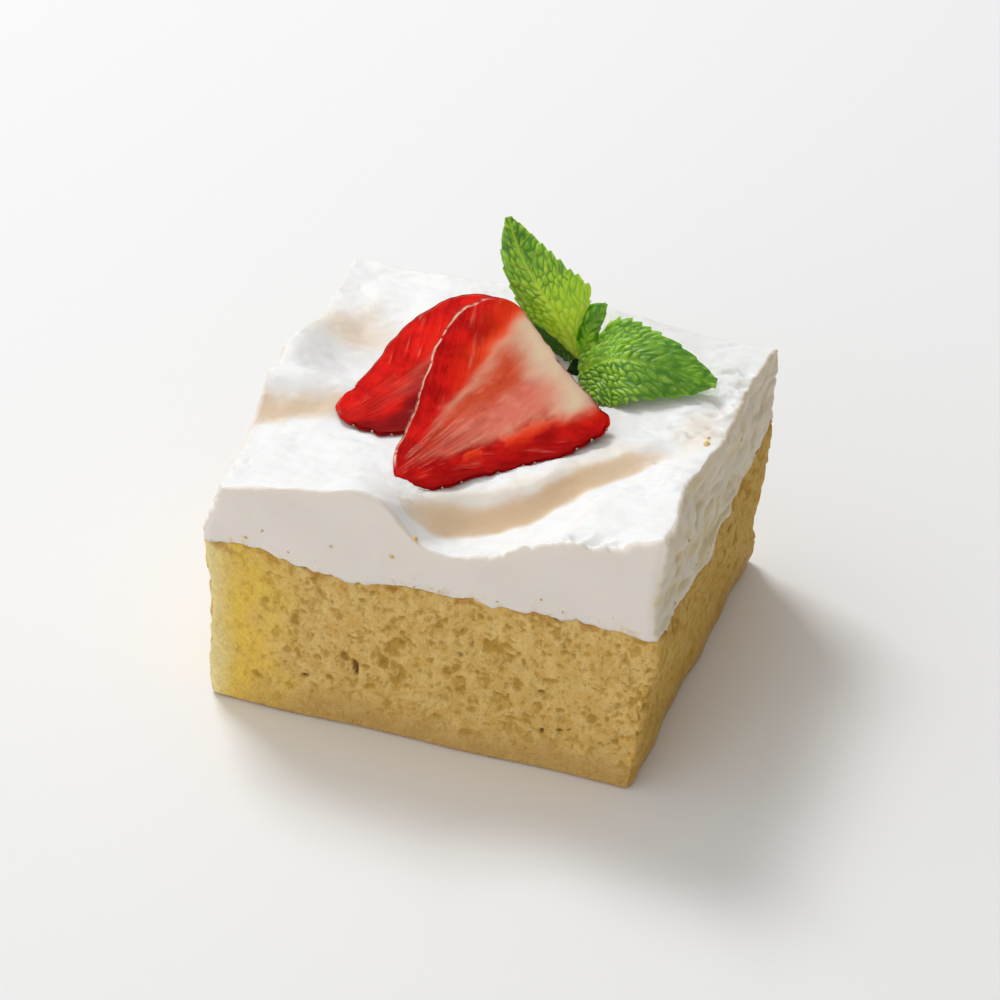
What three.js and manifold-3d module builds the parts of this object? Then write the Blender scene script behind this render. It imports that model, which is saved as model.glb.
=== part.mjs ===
// A square slice of milk-soaked sponge cake under whipped cream, with two strawberry slices and a mint sprig.
// Millimetres, +Z up. The origin is the middle of the base, and the best cut face looks towards -Y.
import * as THREE from "three";
import { mergeVertices } from "three/addons/utils/BufferGeometryUtils.js";
import Module from "manifold-3d";

const wasm = await Module();
wasm.setup();

// ---- Driving sizes ----

const HALF_LENGTH = 38.2; // of the slice along X
const HALF_WIDTH = 34.5; // of the slice along Y
const SPONGE_HEIGHT = 30.8;
const GAP = 0.3; // left between pieces that touch
const LEAF_THICKNESS = 0.7;

// The upright corners pull in a little, and each side face's shape dies away from it by a high power.
const CORNER = { inset: 0.7, power: 12 };
const FACE_POWER = 8;

// The sponge's right face leans in towards the base, and bellies out near the front.
const LEAN = { atBase: 2.9, power: 1.4 };
const BELLY = { out: 1.1, height: 24, reach: 7 };

// The cut faces waver: how far, how fast along the face, and how fast up it.
const SIDE_WAVES = [
  { out: 0.25, along: 7, up: 0.3 },
  { out: 0.15, along: 17, up: -0.5 },
];
const END_WAVES = [{ out: 0.2, along: 8, up: 0.35 }];

// The cream stands out a little over the sponge at two front corners, and its left face slopes in above that.
const FLARE = { out: 1.2, from: 34, to: 50, power: 6 };
const LEFT_LIP = { out: 0.9, height: 32.5, reach: 2.6, power: 4 };
const LEFT_SLOPE = { atFront: 2.1, atBack: 0.2, from: 33, to: 43 };

// Rounded rises (+) and hollows (-) of the sponge's uneven top: middle, radii and rise.
const SPONGE_MOUNDS = [
  { at: [-33, -34], radii: [7, 9], rise: 1.6 },
  { at: [-13, -34], radii: [8, 8], rise: -1.3 },
  { at: [27, -34], radii: [4, 6], rise: 0.6 },
  { at: [38, -6], radii: [16, 15], rise: -3.4 },
  { at: [34, 30], radii: [12, 8], rise: 0.8 },
  { at: [-10, 12], radii: [16, 14], rise: 0.9 },
];

// Height of the cream's top over the four corners, and its rise in the middle, before the spatula marks.
const CREAM_CORNERS = { frontLeft: 42.2, frontRight: 46.8, backLeft: 46.2, backRight: 46.5 };
const CREAM_CROWN = 0.6;

const CREAM_MOUNDS = [
  { at: [38.5, -34.5], radii: [5, 5], rise: 3.6 }, // peak at the front right corner
  { at: [38, -14], radii: [7, 13], rise: 3 }, // right rim
  { at: [25, -26], radii: [9, 8], rise: 0.8 }, // smooth lobe in front on the right
  { at: [-11, -35], radii: [7, 8], rise: 2.8 }, // bank beside the long swoop
  { at: [28, 36], radii: [16, 5], rise: -2.3 }, // back edge sinks on the right
  { at: [-10, 36], radii: [14, 8], rise: 0.6 },
  { at: [-26, 9], radii: [10, 10], rise: -3.6 }, // broad hollow at the left
  { at: [-38, 5], radii: [6, 9], rise: 6 }, // left rim
  { at: [36, 7], radii: [5, 6.5], rise: -2.4 }, // hollow that opens to the right face
  { at: [-29, 31], radii: [6, 2.6], rise: -1.1 }, // dents at the back left
  { at: [-35, 26], radii: [3.5, 2.2], rise: -0.9 },
];

// Spatula strokes: a cubic path in plan, the rise along it, and how far it reaches behind and in front.
const CREAM_STROKES = [
  {
    path: [[-7, -20], [-1, -43], [17, -39], [36, 0]],
    rise: -6.2,
    behind: 10,
    before: 6.5,
    fadeIn: 0.2,
    fadeOut: 0.5,
  },
  {
    path: [[-44, -14], [-34, 0], [-26, -9], [-10, -2]],
    rise: 4,
    behind: 5.5,
    before: 12,
    fadeIn: 0.05,
    fadeOut: 0.3,
  },
];

// Strawberry slices: the tip of the cut face, how the slice is turned, and the cut face's outline.
// Each outline point is [along the slice, across it], and goes round from the tip by the left side.
const STRAWBERRY_FRONT = {
  tip: [-8, -25, 44.95],
  heading: 61.6,
  pitch: 13.3,
  roll: 14,
  thickness: 7,
  outline: [
    [0.2, 0.6], [2.4, 4.3], [7, 6.2], [11.5, 8.7], [15.9, 11.4], [21.1, 14.5], [26, 17],
    [31, 18.4], [35.5, 17.4], [38.5, 14], [37.3, 7.1], [35.7, 0.6], [34, -7.5], [32.8, -13.5],
    [29, -15.2], [22, -13.8], [15.5, -11.4], [9.5, -8.6], [4.5, -6.2], [1, -3],
  ],
};
const STRAWBERRY_BACK = {
  tip: [-22.6, -13, 45.8],
  heading: 66,
  pitch: 12,
  roll: 5,
  thickness: 7,
  outline: [
    [0.6, 0.4], [2.6, 3.4], [7, 3.2], [12.5, 4.3], [18, 5.7], [23.5, 6.6], [28.5, 6.4], [33.4, 4.2],
    [36.8, -0.4], [34.2, -5.4], [29, -9.8], [22, -13.5], [14, -14], [7, -12], [2.8, -8.6], [0.6, -4.2],
  ],
};

// Mint leaves: midrib points from base to tip, the direction across, half width, and the sides' fold up.
const MINT_LEFT = {
  midrib: [[7.1, 16.1, 49.6], [3.6, 17, 54.8], [-1.4, 18.7, 60.8], [-6, 21.1, 68.5]],
  across: [0.83, -0.12, 0.54],
  halfWidth: 6.8,
  fold: 0.16,
};
const MINT_RIGHT = {
  midrib: [[11.6, 10, 49.4], [16, 10.3, 51.6], [22, 10.8, 52.2], [33.4, 13.2, 49.4]],
  across: [-0.12, 0.86, 0.5],
  halfWidth: 8.2,
  fold: -0.12,
};
const MINT_SMALL = {
  midrib: [[10, 16.2, 49.2], [10.6, 16.8, 52], [11.2, 17.6, 54.4], [12, 18.4, 57.2]],
  across: [0.9, -0.3, -0.1],
  halfWidth: 2,
  fold: 0.5,
};
const MINT_STEM = { from: [9.6, 11.6, 45.6], to: [8.7, 14.6, 50], radius: 1.1 };

// A blade's width along it is a sine made fuller, and skewed to be widest nearer its base.
const BLADE = { start: 0.02, end: 0.985, skew: 0.75, fullness: 0.65 };

// Rings of the stem: share of its length, and share of its radius.
const STEM_RINGS = [[0, 1.1], [0.5, 0.95], [1, 0.8]];

// ---- Grids: how many facets each surface gets ----

const SPONGE_GRID = { across: 19, deep: 17, high: 7 };
const CREAM_GRID = { across: 37, deep: 34, high: 4 };
const LEAF_GRID = { along: 12, across: 6 };
const OUTLINE_POINTS = 30;
const STEM_SIDES = 8;
const STROKE_SAMPLES = 60;

// ---- Small helpers ----

const smooth = (t) => THREE.MathUtils.smoothstep(t, 0, 1);
const vector = (p) => new THREE.Vector3(...p);

// A closed geometry as a solid, which can be cut.
function solidOf(geometry) {
  const bare = geometry.clone();
  bare.deleteAttribute("normal");
  bare.deleteAttribute("uv");
  const merged = mergeVertices(bare, 1e-4);
  return new wasm.Manifold(
    new wasm.Mesh({
      numProp: 3,
      vertProperties: new Float32Array(merged.attributes.position.array),
      triVerts: new Uint32Array(merged.index.array),
    }),
  );
}

// A solid as a geometry for a mesh.
function geometryOf(solid) {
  const mesh = solid.getMesh();
  const geometry = new THREE.BufferGeometry();
  geometry.setAttribute("position", new THREE.BufferAttribute(new Float32Array(mesh.vertProperties), 3));
  geometry.setIndex(new THREE.BufferAttribute(new Uint32Array(mesh.triVerts), 1));
  geometry.computeVertexNormals();
  return geometry;
}

// A gridded box whose every point, given as three shares from 0 to 1, is moved to where place puts it.
function shapedBox({ across, deep, high }, place) {
  const geometry = new THREE.BoxGeometry(1, 1, 1, across, deep, high);
  const position = geometry.attributes.position;
  for (let i = 0; i < position.count; i += 1) {
    const [x, y, z] = place(position.getX(i) + 0.5, position.getY(i) + 0.5, position.getZ(i) + 0.5);
    position.setXYZ(i, x, y, z);
  }
  return geometry;
}

// Rings of equally many points, joined one to the next and closed with a fan at each end.
function loft(rings) {
  const count = rings[0].length;
  const points = rings.flat();
  const middle = (ring) => ring.reduce((sum, p) => sum.add(p), new THREE.Vector3()).divideScalar(count);
  const start = points.push(middle(rings[0])) - 1;
  const end = points.push(middle(rings.at(-1))) - 1;
  const last = (rings.length - 1) * count;
  const index = [];
  for (let j = 0; j < count; j += 1) {
    const next = (j + 1) % count;
    for (let base = 0; base < last; base += count) {
      index.push(base + j, base + next, base + count + next);
      index.push(base + j, base + count + next, base + count + j);
    }
    index.push(start, next, j);
    index.push(end, last + j, last + next);
  }
  const geometry = new THREE.BufferGeometry().setFromPoints(points);
  geometry.setIndex(index);
  return geometry;
}

// ---- The slice's outline and the heights of its layers ----

// 0 below from, 1 above to, and a smooth rise between them.
const rising = (z, { from, to }) => THREE.MathUtils.smoothstep(z, from, to);

// A bulge that falls off as a bell above and below its height.
const bulge = (z, { out, height, reach }) => out * Math.exp(-(((z - height) / reach) ** 2));

const waver = (waves, share, z) =>
  waves.reduce((sum, { out, along, up }) => sum + out * Math.sin(share * along + z * up), 0);

// The plan position of a point of the slice: u and v run from -1 to 1 across it, and z is its height.
function onSlice(u, v, z) {
  const inset = CORNER.inset * (u * v) ** CORNER.power;
  const front = smooth(-v);
  const lean = LEAN.atBase * Math.max(0, 1 - z / SPONGE_HEIGHT) ** LEAN.power;
  const flare = FLARE.out * front ** FLARE.power * rising(z, FLARE);
  const lip = front ** LEFT_LIP.power * bulge(z, LEFT_LIP);
  const slope = THREE.MathUtils.lerp(LEFT_SLOPE.atBack, LEFT_SLOPE.atFront, front) * rising(z, LEFT_SLOPE);
  const side = waver(SIDE_WAVES, v, z);
  const right = Math.max(0, u) ** FACE_POWER * (front * bulge(z, BELLY) + flare - lean + side);
  const left = Math.max(0, -u) ** FACE_POWER * (lip - slope + side);
  const end = Math.sign(v) * Math.abs(v) ** FACE_POWER * waver(END_WAVES, u, z);
  return [u * (HALF_LENGTH - inset) + right - left, v * (HALF_WIDTH - inset) + end];
}

// Sum of rounded mounds: each falls off as a bell over its two radii.
function mounds(list, x, y) {
  return list.reduce((sum, { at, radii, rise }) => {
    const across = (x - at[0]) / radii[0];
    const deep = (y - at[1]) / radii[1];
    return sum + rise * Math.exp(-(across ** 2) - deep ** 2);
  }, 0);
}

const strokePaths = CREAM_STROKES.map(({ path }) =>
  new THREE.CubicBezierCurve(...path.map((p) => new THREE.Vector2(...p))).getPoints(STROKE_SAMPLES),
);

// Relief of one spatula stroke: highest or lowest on its path, with a rounded slope on either side.
function strokeRelief({ rise, behind, before, fadeIn, fadeOut }, path, x, y) {
  let nearest = 0;
  let best = Infinity;
  path.forEach((p, i) => {
    const distance = Math.hypot(x - p.x, y - p.y);
    if (distance < best) {
      best = distance;
      nearest = i;
    }
  });
  const from = path[Math.max(0, nearest - 1)];
  const to = path[Math.min(path.length - 1, nearest + 1)];
  const side = (to.x - from.x) * (y - path[nearest].y) - (to.y - from.y) * (x - path[nearest].x);
  const share = Math.min(1, best / (side > 0 ? behind : before));
  const along = nearest / (path.length - 1);
  const fade = smooth(along / fadeIn) * smooth((1 - along) / fadeOut);
  return rise * fade * (0.5 + 0.5 * Math.cos(Math.PI * share));
}

function spongeTop(x, y) {
  return SPONGE_HEIGHT + mounds(SPONGE_MOUNDS, x, y);
}

function creamTop(x, y) {
  const u = x / HALF_LENGTH;
  const v = y / HALF_WIDTH;
  const { frontLeft, frontRight, backLeft, backRight } = CREAM_CORNERS;
  const front = THREE.MathUtils.lerp(frontLeft, frontRight, (u + 1) / 2);
  const back = THREE.MathUtils.lerp(backLeft, backRight, (u + 1) / 2);
  const crown = CREAM_CROWN * Math.max(0, 1 - u * u) * Math.max(0, 1 - v * v);
  const strokes = CREAM_STROKES.reduce((sum, s, i) => sum + strokeRelief(s, strokePaths[i], x, y), 0);
  return THREE.MathUtils.lerp(front, back, (v + 1) / 2) + crown + mounds(CREAM_MOUNDS, x, y) + strokes;
}

// ---- Sponge ----

function makeSponge() {
  return shapedBox(SPONGE_GRID, (s, t, h) => {
    const u = 2 * s - 1;
    const v = 2 * t - 1;
    const z = h * spongeTop(u * HALF_LENGTH, v * HALF_WIDTH);
    return [...onSlice(u, v, z), z];
  });
}

// ---- Cream ----

// Everything under the cream's top and inside the cut faces, down to a little below the sponge's top.
function makeCreamBlock() {
  const below = 2;
  return shapedBox(CREAM_GRID, (s, t, h) => {
    const u = 2 * s - 1;
    const v = 2 * t - 1;
    const bottom = spongeTop(u * HALF_LENGTH, v * HALF_WIDTH) - below;
    const z = THREE.MathUtils.lerp(bottom, creamTop(u * HALF_LENGTH, v * HALF_WIDTH), h);
    return [...onSlice(u, v, z), z];
  });
}

// Everything over the sponge's top, on the same grid as the sponge with one more row outside it.
function makeSpaceOverSponge() {
  const margin = 6;
  const ceiling = 90;
  const { across, deep } = SPONGE_GRID;
  const spread = (s, cells) => THREE.MathUtils.clamp(((cells + 2) * s - 1) / cells, 0, 1) * 2 - 1;
  const outside = (s, cells) => (s < 0.5 / (cells + 2) ? -margin : s > 1 - 0.5 / (cells + 2) ? margin : 0);
  return shapedBox({ across: across + 2, deep: deep + 2, high: 1 }, (s, t, h) => {
    const x = spread(s, across) * HALF_LENGTH;
    const y = spread(t, deep) * HALF_WIDTH;
    const z = h > 0.5 ? ceiling : spongeTop(x, y) + GAP;
    return [x + outside(s, across), y + outside(t, deep), z];
  });
}

function makeCream(sunkPieces) {
  const slab = solidOf(makeCreamBlock()).intersect(solidOf(makeSpaceOverSponge()));
  const cut = sunkPieces.reduce((cream, piece) => cream.subtract(solidOf(piece)), slab);
  return geometryOf(cut);
}

// ---- Strawberry slices ----

// Rings from the cut face down over the skin: share of the outline, and share of the thickness below the cut.
const STRAWBERRY_RINGS = [[0.5, 0], [1, 0], [0.99, 0.1], [0.93, 0.26], [0.8, 0.5], [0.6, 0.76], [0.25, 1]];

function placeStrawberry({ tip, heading, pitch, roll }) {
  const turn = [roll, -pitch, heading].map((angle) => THREE.MathUtils.degToRad(angle));
  const place = new THREE.Object3D();
  place.rotation.set(...turn, "ZYX");
  place.position.set(...tip);
  return place;
}

// The slice in its own frame: tip at the origin, cut face in the plane z = 0, made bigger all round by grow.
function makeStrawberry({ outline, thickness }, grow = 0) {
  const curve = new THREE.CatmullRomCurve3(outline.map(([x, y]) => new THREE.Vector3(x, y, 0)), true);
  const points = curve.getSpacedPoints(OUTLINE_POINTS).slice(0, OUTLINE_POINTS);
  const middle = points.reduce((sum, p) => sum.add(p), new THREE.Vector3()).divideScalar(points.length);
  const rings = STRAWBERRY_RINGS.map(([share, depth]) =>
    points.map((p) => {
      const out = p.clone().sub(middle);
      const reach = out.length() * share + grow;
      const drop = depth * (thickness + grow) - (depth === 0 ? grow : 0);
      return middle.clone().add(out.setLength(reach)).setZ(-drop);
    }),
  );
  return loft(rings);
}

// ---- Mint ----

// A leaf of even thickness: an egg-shaped blade spread either side of its midrib, folded along it.
function makeLeaf({ midrib, across, halfWidth, fold }, grow = 0) {
  const rib = new THREE.CatmullRomCurve3(midrib.map(vector));
  const thickness = LEAF_THICKNESS + 2 * grow;
  return shapedBox({ across: LEAF_GRID.along, deep: LEAF_GRID.across, high: 1 }, (s, t, h) => {
    const side = 2 * t - 1;
    const along = rib.getTangent(s);
    const normal = along.clone().cross(vector(across)).normalize();
    const sideways = normal.clone().cross(along);
    const skewed = THREE.MathUtils.clamp(s, BLADE.start, BLADE.end) ** BLADE.skew;
    const width = (halfWidth + grow) * Math.sin(Math.PI * skewed) ** BLADE.fullness * side;
    return rib
      .getPoint(s)
      .addScaledVector(sideways, width)
      .addScaledVector(normal, fold * Math.abs(width) + (h - 0.5) * thickness)
      .toArray();
  });
}

// A short round stem, a little thicker at its foot.
function makeStem({ from, to, radius }, grow = 0) {
  const axis = vector(to).sub(vector(from)).normalize();
  const right = new THREE.Vector3(1, 0, 0).cross(axis).normalize();
  const front = axis.clone().cross(right);
  const ring = (share, scale) =>
    Array.from({ length: STEM_SIDES }, (_, i) => {
      const angle = (2 * Math.PI * i) / STEM_SIDES;
      return vector(from)
        .lerp(vector(to), share)
        .addScaledVector(right, Math.cos(angle) * (radius * scale + grow))
        .addScaledVector(front, Math.sin(angle) * (radius * scale + grow));
    });
  return loft(STEM_RINGS.map(([share, scale]) => ring(share, scale)));
}

// ---- Assembly ----

const MATERIALS = {
  sponge: { color: "#d9b35c", roughness: 0.75 },
  cream: { color: "#f6f1ea", roughness: 0.5 },
  strawberry: { color: "#c91d18", roughness: 0.3 },
  leaf: { color: "#4f9a26", roughness: 0.5 },
  stem: { color: "#2f5a1c", roughness: 0.6 },
};

const slice = new THREE.Group();

function addMesh(parent, name, geometry, material) {
  const mesh = new THREE.Mesh(geometry, new THREE.MeshStandardMaterial({ ...material, metalness: 0 }));
  mesh.name = name;
  parent.add(mesh);
}

// The front slice lies on the back one, which is cut away under it.
const frontPlace = placeStrawberry(STRAWBERRY_FRONT);
const backPlace = placeStrawberry(STRAWBERRY_BACK);
frontPlace.updateMatrix();
backPlace.updateMatrix();
const frontRoom = makeStrawberry(STRAWBERRY_FRONT, GAP).applyMatrix4(frontPlace.matrix);
const backRoom = makeStrawberry(STRAWBERRY_BACK, GAP).applyMatrix4(backPlace.matrix);
const frontRoomOnBack = frontRoom.clone().applyMatrix4(backPlace.matrix.clone().invert());
const backCut = solidOf(makeStrawberry(STRAWBERRY_BACK)).subtract(solidOf(frontRoomOnBack));

addMesh(slice, "sponge", makeSponge(), MATERIALS.sponge);
const sunk = [frontRoom, backRoom, makeLeaf(MINT_RIGHT, GAP), makeStem(MINT_STEM, GAP)];
addMesh(slice, "cream", makeCream(sunk), MATERIALS.cream);

addMesh(frontPlace, "strawberry_front", makeStrawberry(STRAWBERRY_FRONT), MATERIALS.strawberry);
addMesh(backPlace, "strawberry_back", geometryOf(backCut), MATERIALS.strawberry);
slice.add(frontPlace, backPlace);

addMesh(slice, "mint_leaf_left", makeLeaf(MINT_LEFT), MATERIALS.leaf);
addMesh(slice, "mint_leaf_right", makeLeaf(MINT_RIGHT), MATERIALS.leaf);
addMesh(slice, "mint_leaf_small", makeLeaf(MINT_SMALL), MATERIALS.leaf);
addMesh(slice, "mint_stem", makeStem(MINT_STEM), MATERIALS.stem);

export default slice;
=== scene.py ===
"""A slice of tres leches cake: soaked sponge, whipped cream, strawberry slices and a mint sprig."""

import bpy
import numpy as np
from mathutils import Matrix


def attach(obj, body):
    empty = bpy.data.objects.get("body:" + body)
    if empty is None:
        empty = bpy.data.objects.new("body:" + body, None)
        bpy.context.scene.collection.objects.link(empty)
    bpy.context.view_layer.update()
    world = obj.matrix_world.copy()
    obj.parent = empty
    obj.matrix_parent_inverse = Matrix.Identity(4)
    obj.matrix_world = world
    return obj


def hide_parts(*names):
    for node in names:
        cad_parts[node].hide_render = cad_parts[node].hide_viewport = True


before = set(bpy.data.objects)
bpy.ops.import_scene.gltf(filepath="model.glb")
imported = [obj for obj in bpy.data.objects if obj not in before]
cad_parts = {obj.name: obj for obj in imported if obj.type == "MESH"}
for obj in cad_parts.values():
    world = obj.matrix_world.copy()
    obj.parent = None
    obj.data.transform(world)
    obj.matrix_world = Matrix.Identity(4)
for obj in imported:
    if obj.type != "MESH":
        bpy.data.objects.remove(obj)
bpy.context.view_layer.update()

# ---------------------------------------------------------------------------------------------
# Sponge. An open yellow crumb that has drunk milk, cut from a tray bake with a knife: the cuts
# run through its bubbles, the foot is wet and closed, and the left end is nearly full of milk.
# Its colour holds painted light and shade: a glow of light through the left end, painted shade
# that darkens the foot and the holes, and a deeper gold on the right face as painted shade.
# ---------------------------------------------------------------------------------------------

HALF_LENGTH, HALF_WIDTH = 38.2, 34.5  # mm, as every size here until a mesh is made
SPONGE_HEIGHT = 30.8
COLUMNS = (230, 206)  # steps along the front and back, and along the sides
SPONGE_ROWS = 93
RINGS_OVER, RINGS_UNDER = 9, 5  # rings that close the sponge's top and its foot
FOOT_RADIUS, BRIM_RADIUS = 0.9, 0.3  # how round the sponge's lower and upper edges are
SOAKED_FOOT = (1.5, 8)  # height over which the wet, closed foot, darkened with painted shade, gives way to open crumb
MILK_AND_GLOW_END = (-33, -21)  # x over which the milk-filled left end, with its painted glow of light, gives way to plain crumb
EDGE_GLOW_FADE = (-37.8, -32.5)  # x over which the painted glow of light through the left edge fades
COARSE_DEPTH, FINE_DEPTH, PLACED_DEPTH = 0.36, 0.22, 0.7  # of the bubbles and the placed holes
CORNER = 1.5  # radius of the upright corners of sponge and cream
RIGHT_LEAN, RIGHT_BELLY, CREAM_FLARE, LEFT_LIP = 2.9, 1.1, 1.2, 0.9  # how far each moves a side face
LATTICE = 32  # cells along each side of a random lattice, past which it repeats
# Rises of the sponge's top where the cream meets it: x, y, radius in x, radius in y, rise.
SPONGE_MOUNDS = [
    (-33, -34, 7, 9, 1.6), (-13, -34, 8, 8, -1.3), (27, -34, 4, 6, 0.6),
    (38, -6, 16, 15, -3.4), (34, 30, 12, 8, 0.8), (-10, 12, 16, 14, 0.9),
]
# Larger holes of the front cut: x, z, half width, half height, tilt in degrees, how dark (painted shade; a
# darker hole is also deeper).
FRONT_HOLES = [
    (-12.1, 12.4, 0.55, 1.90, 8, 1.0), (-13.9, 13.9, 1.10, 0.90, -30, 0.3),
    (-22.6, 19.3, 0.90, 1.50, 10, 0.1), (-27.8, 22.3, 0.80, 1.20, -20, 0.0),
    (-29.4, 6.6, 1.20, 0.70, -25, 0.15), (-23.9, 13.1, 0.80, 0.90, 0, 0.1),
    (-21.2, 8.4, 0.90, 0.50, 10, 0.8), (-16.7, 9.0, 0.90, 0.70, -30, 0.2),
    (-7.5, 14.7, 1.10, 1.30, 0, 0.1), (-4.2, 19.4, 0.50, 0.90, 20, 0.3),
    (6.1, 19.8, 0.60, 0.50, -30, 0.5), (7.2, 4.2, 1.60, 0.75, 10, 0.05),
    (8.0, 8.9, 1.30, 0.80, 25, 0.0), (9.4, 28.0, 0.80, 0.60, -20, 0.2),
    (20.2, 8.1, 0.60, 0.65, 0, 1.0), (23.1, 9.0, 0.70, 0.45, 10, 1.0), (24.8, 9.5, 0.35, 0.30, 0, 0.9),
    (19.8, 15.6, 0.90, 0.60, 20, 0.7), (28.5, 12.5, 0.90, 1.05, 0, 0.1), (30.4, 8.1, 0.80, 0.50, -10, 0.2),
    (32.4, 9.2, 0.95, 0.60, 10, 0.2), (33.0, 14.5, 0.95, 0.65, 0, 0.05),
]


def rising(value, start, end):
    """0 up to start and 1 from end on, with a cubic ease (3t^2 - 2t^3) between them."""
    t = np.clip((value - start) / (end - start), 0, 1)
    return t * t * (3 - 2 * t)


def bell(value, middle, reach):
    """1 at the middle, falling off as exp(-d^2) with d the distance from it over the reach."""
    return np.exp(-(((value - middle) / reach) ** 2))


def cloud(points, cell, seed):
    """A smooth random field from -1 to 1: random numbers on a cubic lattice of that cell, blended
    between a point's eight nearest with a cubic ease along each axis."""
    lattice = np.random.default_rng(seed).uniform(-1, 1, (LATTICE, LATTICE, LATTICE))
    places = points / np.asarray(cell, float)
    base = np.floor(places).astype(int)
    share = places - base
    share = share * share * (3 - 2 * share)
    total = 0
    for corner in np.ndindex(2, 2, 2):
        at = (base + corner) % LATTICE
        weight = np.prod(np.where(corner, share, 1 - share), axis=-1)
        total = total + weight * lattice[at[..., 0], at[..., 1], at[..., 2]]
    return total


def clouds(points, cell, seed, layers=3):
    """Clouds of ever finer cells on each other, each with half the cell and half the height."""
    cell = np.asarray(cell, float)
    return sum(cloud(points, cell / 2**i, seed + i) / 2**i for i in range(layers))


def mounds(x, y, rises):
    """Sum of bell-shaped rises, each exp(-dx^2 - dy^2) high with distances over its two radii."""
    return sum(rise * bell(x, ax, rx) * bell(y, ay, ry) for ax, ay, rx, ry, rise in rises)


def flat(x, y):
    """Plan positions as points in the plane z = 0, to read a cloud there."""
    return np.stack([x, y, np.zeros_like(x)], -1)


def sponge_top(x, y):
    """Height of the joint between sponge and cream: the mounds, and an uneven crust of lumps, in three
    clouds of about 5, 2 and 1 mm."""
    lumps = 0.4 * clouds(flat(x, y), 5.5, 11, 2) + 0.45 * clouds(flat(x, y), 2.3, 14, 2)
    lumps = lumps + 0.28 * clouds(flat(x, y), 1.15, 18, 2)
    return SPONGE_HEIGHT + mounds(x, y, SPONGE_MOUNDS) + lumps


def footprint(u, v, inset):
    """Plan position of shares u and v (-1 to 1) on a rounded rectangle pulled in by inset. In the
    square block of each corner, an offset is scaled by its longer side over its length, which presses
    the block into a quarter disc."""
    radius = np.maximum(CORNER - inset, 0.02)
    place = []
    for share, half in ((u, HALF_LENGTH - inset), (v, HALF_WIDTH - inset)):
        place.append((np.abs(share * half), half - radius, np.sign(share)))
    over = [np.maximum(size - straight, 0) for size, straight, _ in place]
    press = np.maximum(*over) / (np.hypot(*over) + 1e-9)
    return [
        side * (np.minimum(size, straight) + beyond * press)
        for (size, straight, side), beyond in zip(place, over)
    ]


def on_slice(u, v, z, inset=0.0):
    """Position of shares u and v at height z on the cut block. The right face leans in towards the base
    and bellies out near the front, the cream flares at the front right corner, and the left face has
    a lip at the joint and slopes in above it."""
    x, y = footprint(u, v, inset)
    front = rising(-v, 0, 1)
    lean = RIGHT_LEAN * np.maximum(0, 1 - z / SPONGE_HEIGHT) ** 1.4
    belly = RIGHT_BELLY * front * bell(z, 24, 7)
    flare = CREAM_FLARE * front**6 * rising(z, 34, 50)
    lip = LEFT_LIP * front**4 * bell(z, 32.5, 2.6)
    slope = (0.2 + 1.9 * front) * rising(z, 33, 43)
    side = 0.25 * np.sin(v * 7 + z * 0.3) + 0.15 * np.sin(v * 17 - z * 0.5)
    right = np.maximum(0, u) ** 8 * (belly + flare - lean + side)
    left = np.maximum(0, -u) ** 8 * (lip - slope + side)
    end = np.sign(v) * np.abs(v) ** 8 * 0.2 * np.sin(u * 8 + z * 0.35)
    return np.stack(np.broadcast_arrays(x + right - left, y + end, z), -1)


def spacing(steps):
    """Shares from -1 to 1 that lie closer at both ends: 1.05 s - 0.05 s^3 for even steps s."""
    s = np.linspace(-1, 1, steps + 1)
    return 1.05 * s - 0.05 * s**3


def plan_grid():
    """Shares u and v of a grid over the block's plan, each from -1 to 1."""
    return np.meshgrid(spacing(COLUMNS[0]), spacing(COLUMNS[1]))


def round_the_rim(grid):
    """The values along the four edges of a grid, once round from its first corner."""
    return np.concatenate([grid[0, :-1], grid[:-1, -1], grid[-1, :0:-1], grid[:0:-1, 0]])


def unit(ways):
    """Directions drawn out or in to a length of 1."""
    return ways / (np.linalg.norm(ways, axis=-1, keepdims=True) + 1e-12)


def normals_of(rows):
    """Unit normals of a surface of closed rows: the change along a row crossed with that up a column."""
    return unit(np.cross(np.roll(rows, -1, 1) - np.roll(rows, 1, 1), np.gradient(rows, axis=0)))


def quads_between(index, closed=True):
    """Four-cornered faces between neighbouring rows and columns of a table of vertex numbers."""
    right = np.roll(index, -1, 1)
    if not closed:
        index, right = index[:, :-1], right[:, :-1]
    return np.stack([index[:-1], right[:-1], right[1:], index[1:]], -1).reshape(-1, 4)


def fan(ring, middle):
    """Three-cornered faces from each edge of a ring of vertex numbers to one in its middle."""
    return np.stack([ring, np.roll(ring, -1), np.full(len(ring), middle)], -1)


def make_piece(name, points, quads, triangles=(), fields=None):
    """A smooth-shaded mesh from points in mm, its faces, and a number per point for each named field."""
    quads = np.asarray(quads, np.int64).reshape(-1, 4)
    triangles = np.asarray(triangles, np.int64).reshape(-1, 3)
    sizes = np.concatenate([np.full(len(quads), 4), np.full(len(triangles), 3)])
    corners = np.concatenate([quads.ravel(), triangles.ravel()])
    mesh = bpy.data.meshes.new(name)
    mesh.vertices.add(len(points))
    mesh.vertices.foreach_set("co", (np.asarray(points) * 0.001).astype(np.float32).ravel())
    mesh.loops.add(len(corners))
    mesh.loops.foreach_set("vertex_index", corners.astype(np.int32))
    mesh.polygons.add(len(sizes))
    mesh.polygons.foreach_set("loop_start", (np.cumsum(sizes) - sizes).astype(np.int32))
    mesh.polygons.foreach_set("use_smooth", np.ones(len(sizes), bool))
    mesh.update(calc_edges=True)
    for field, values in (fields or {}).items():
        layer = mesh.attributes.new(field, "FLOAT", "POINT")
        layer.data.foreach_set("value", np.asarray(values, np.float32).ravel())
    mesh.validate()
    piece = bpy.data.objects.new(name, mesh)
    bpy.context.scene.collection.objects.link(piece)
    return piece


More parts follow.
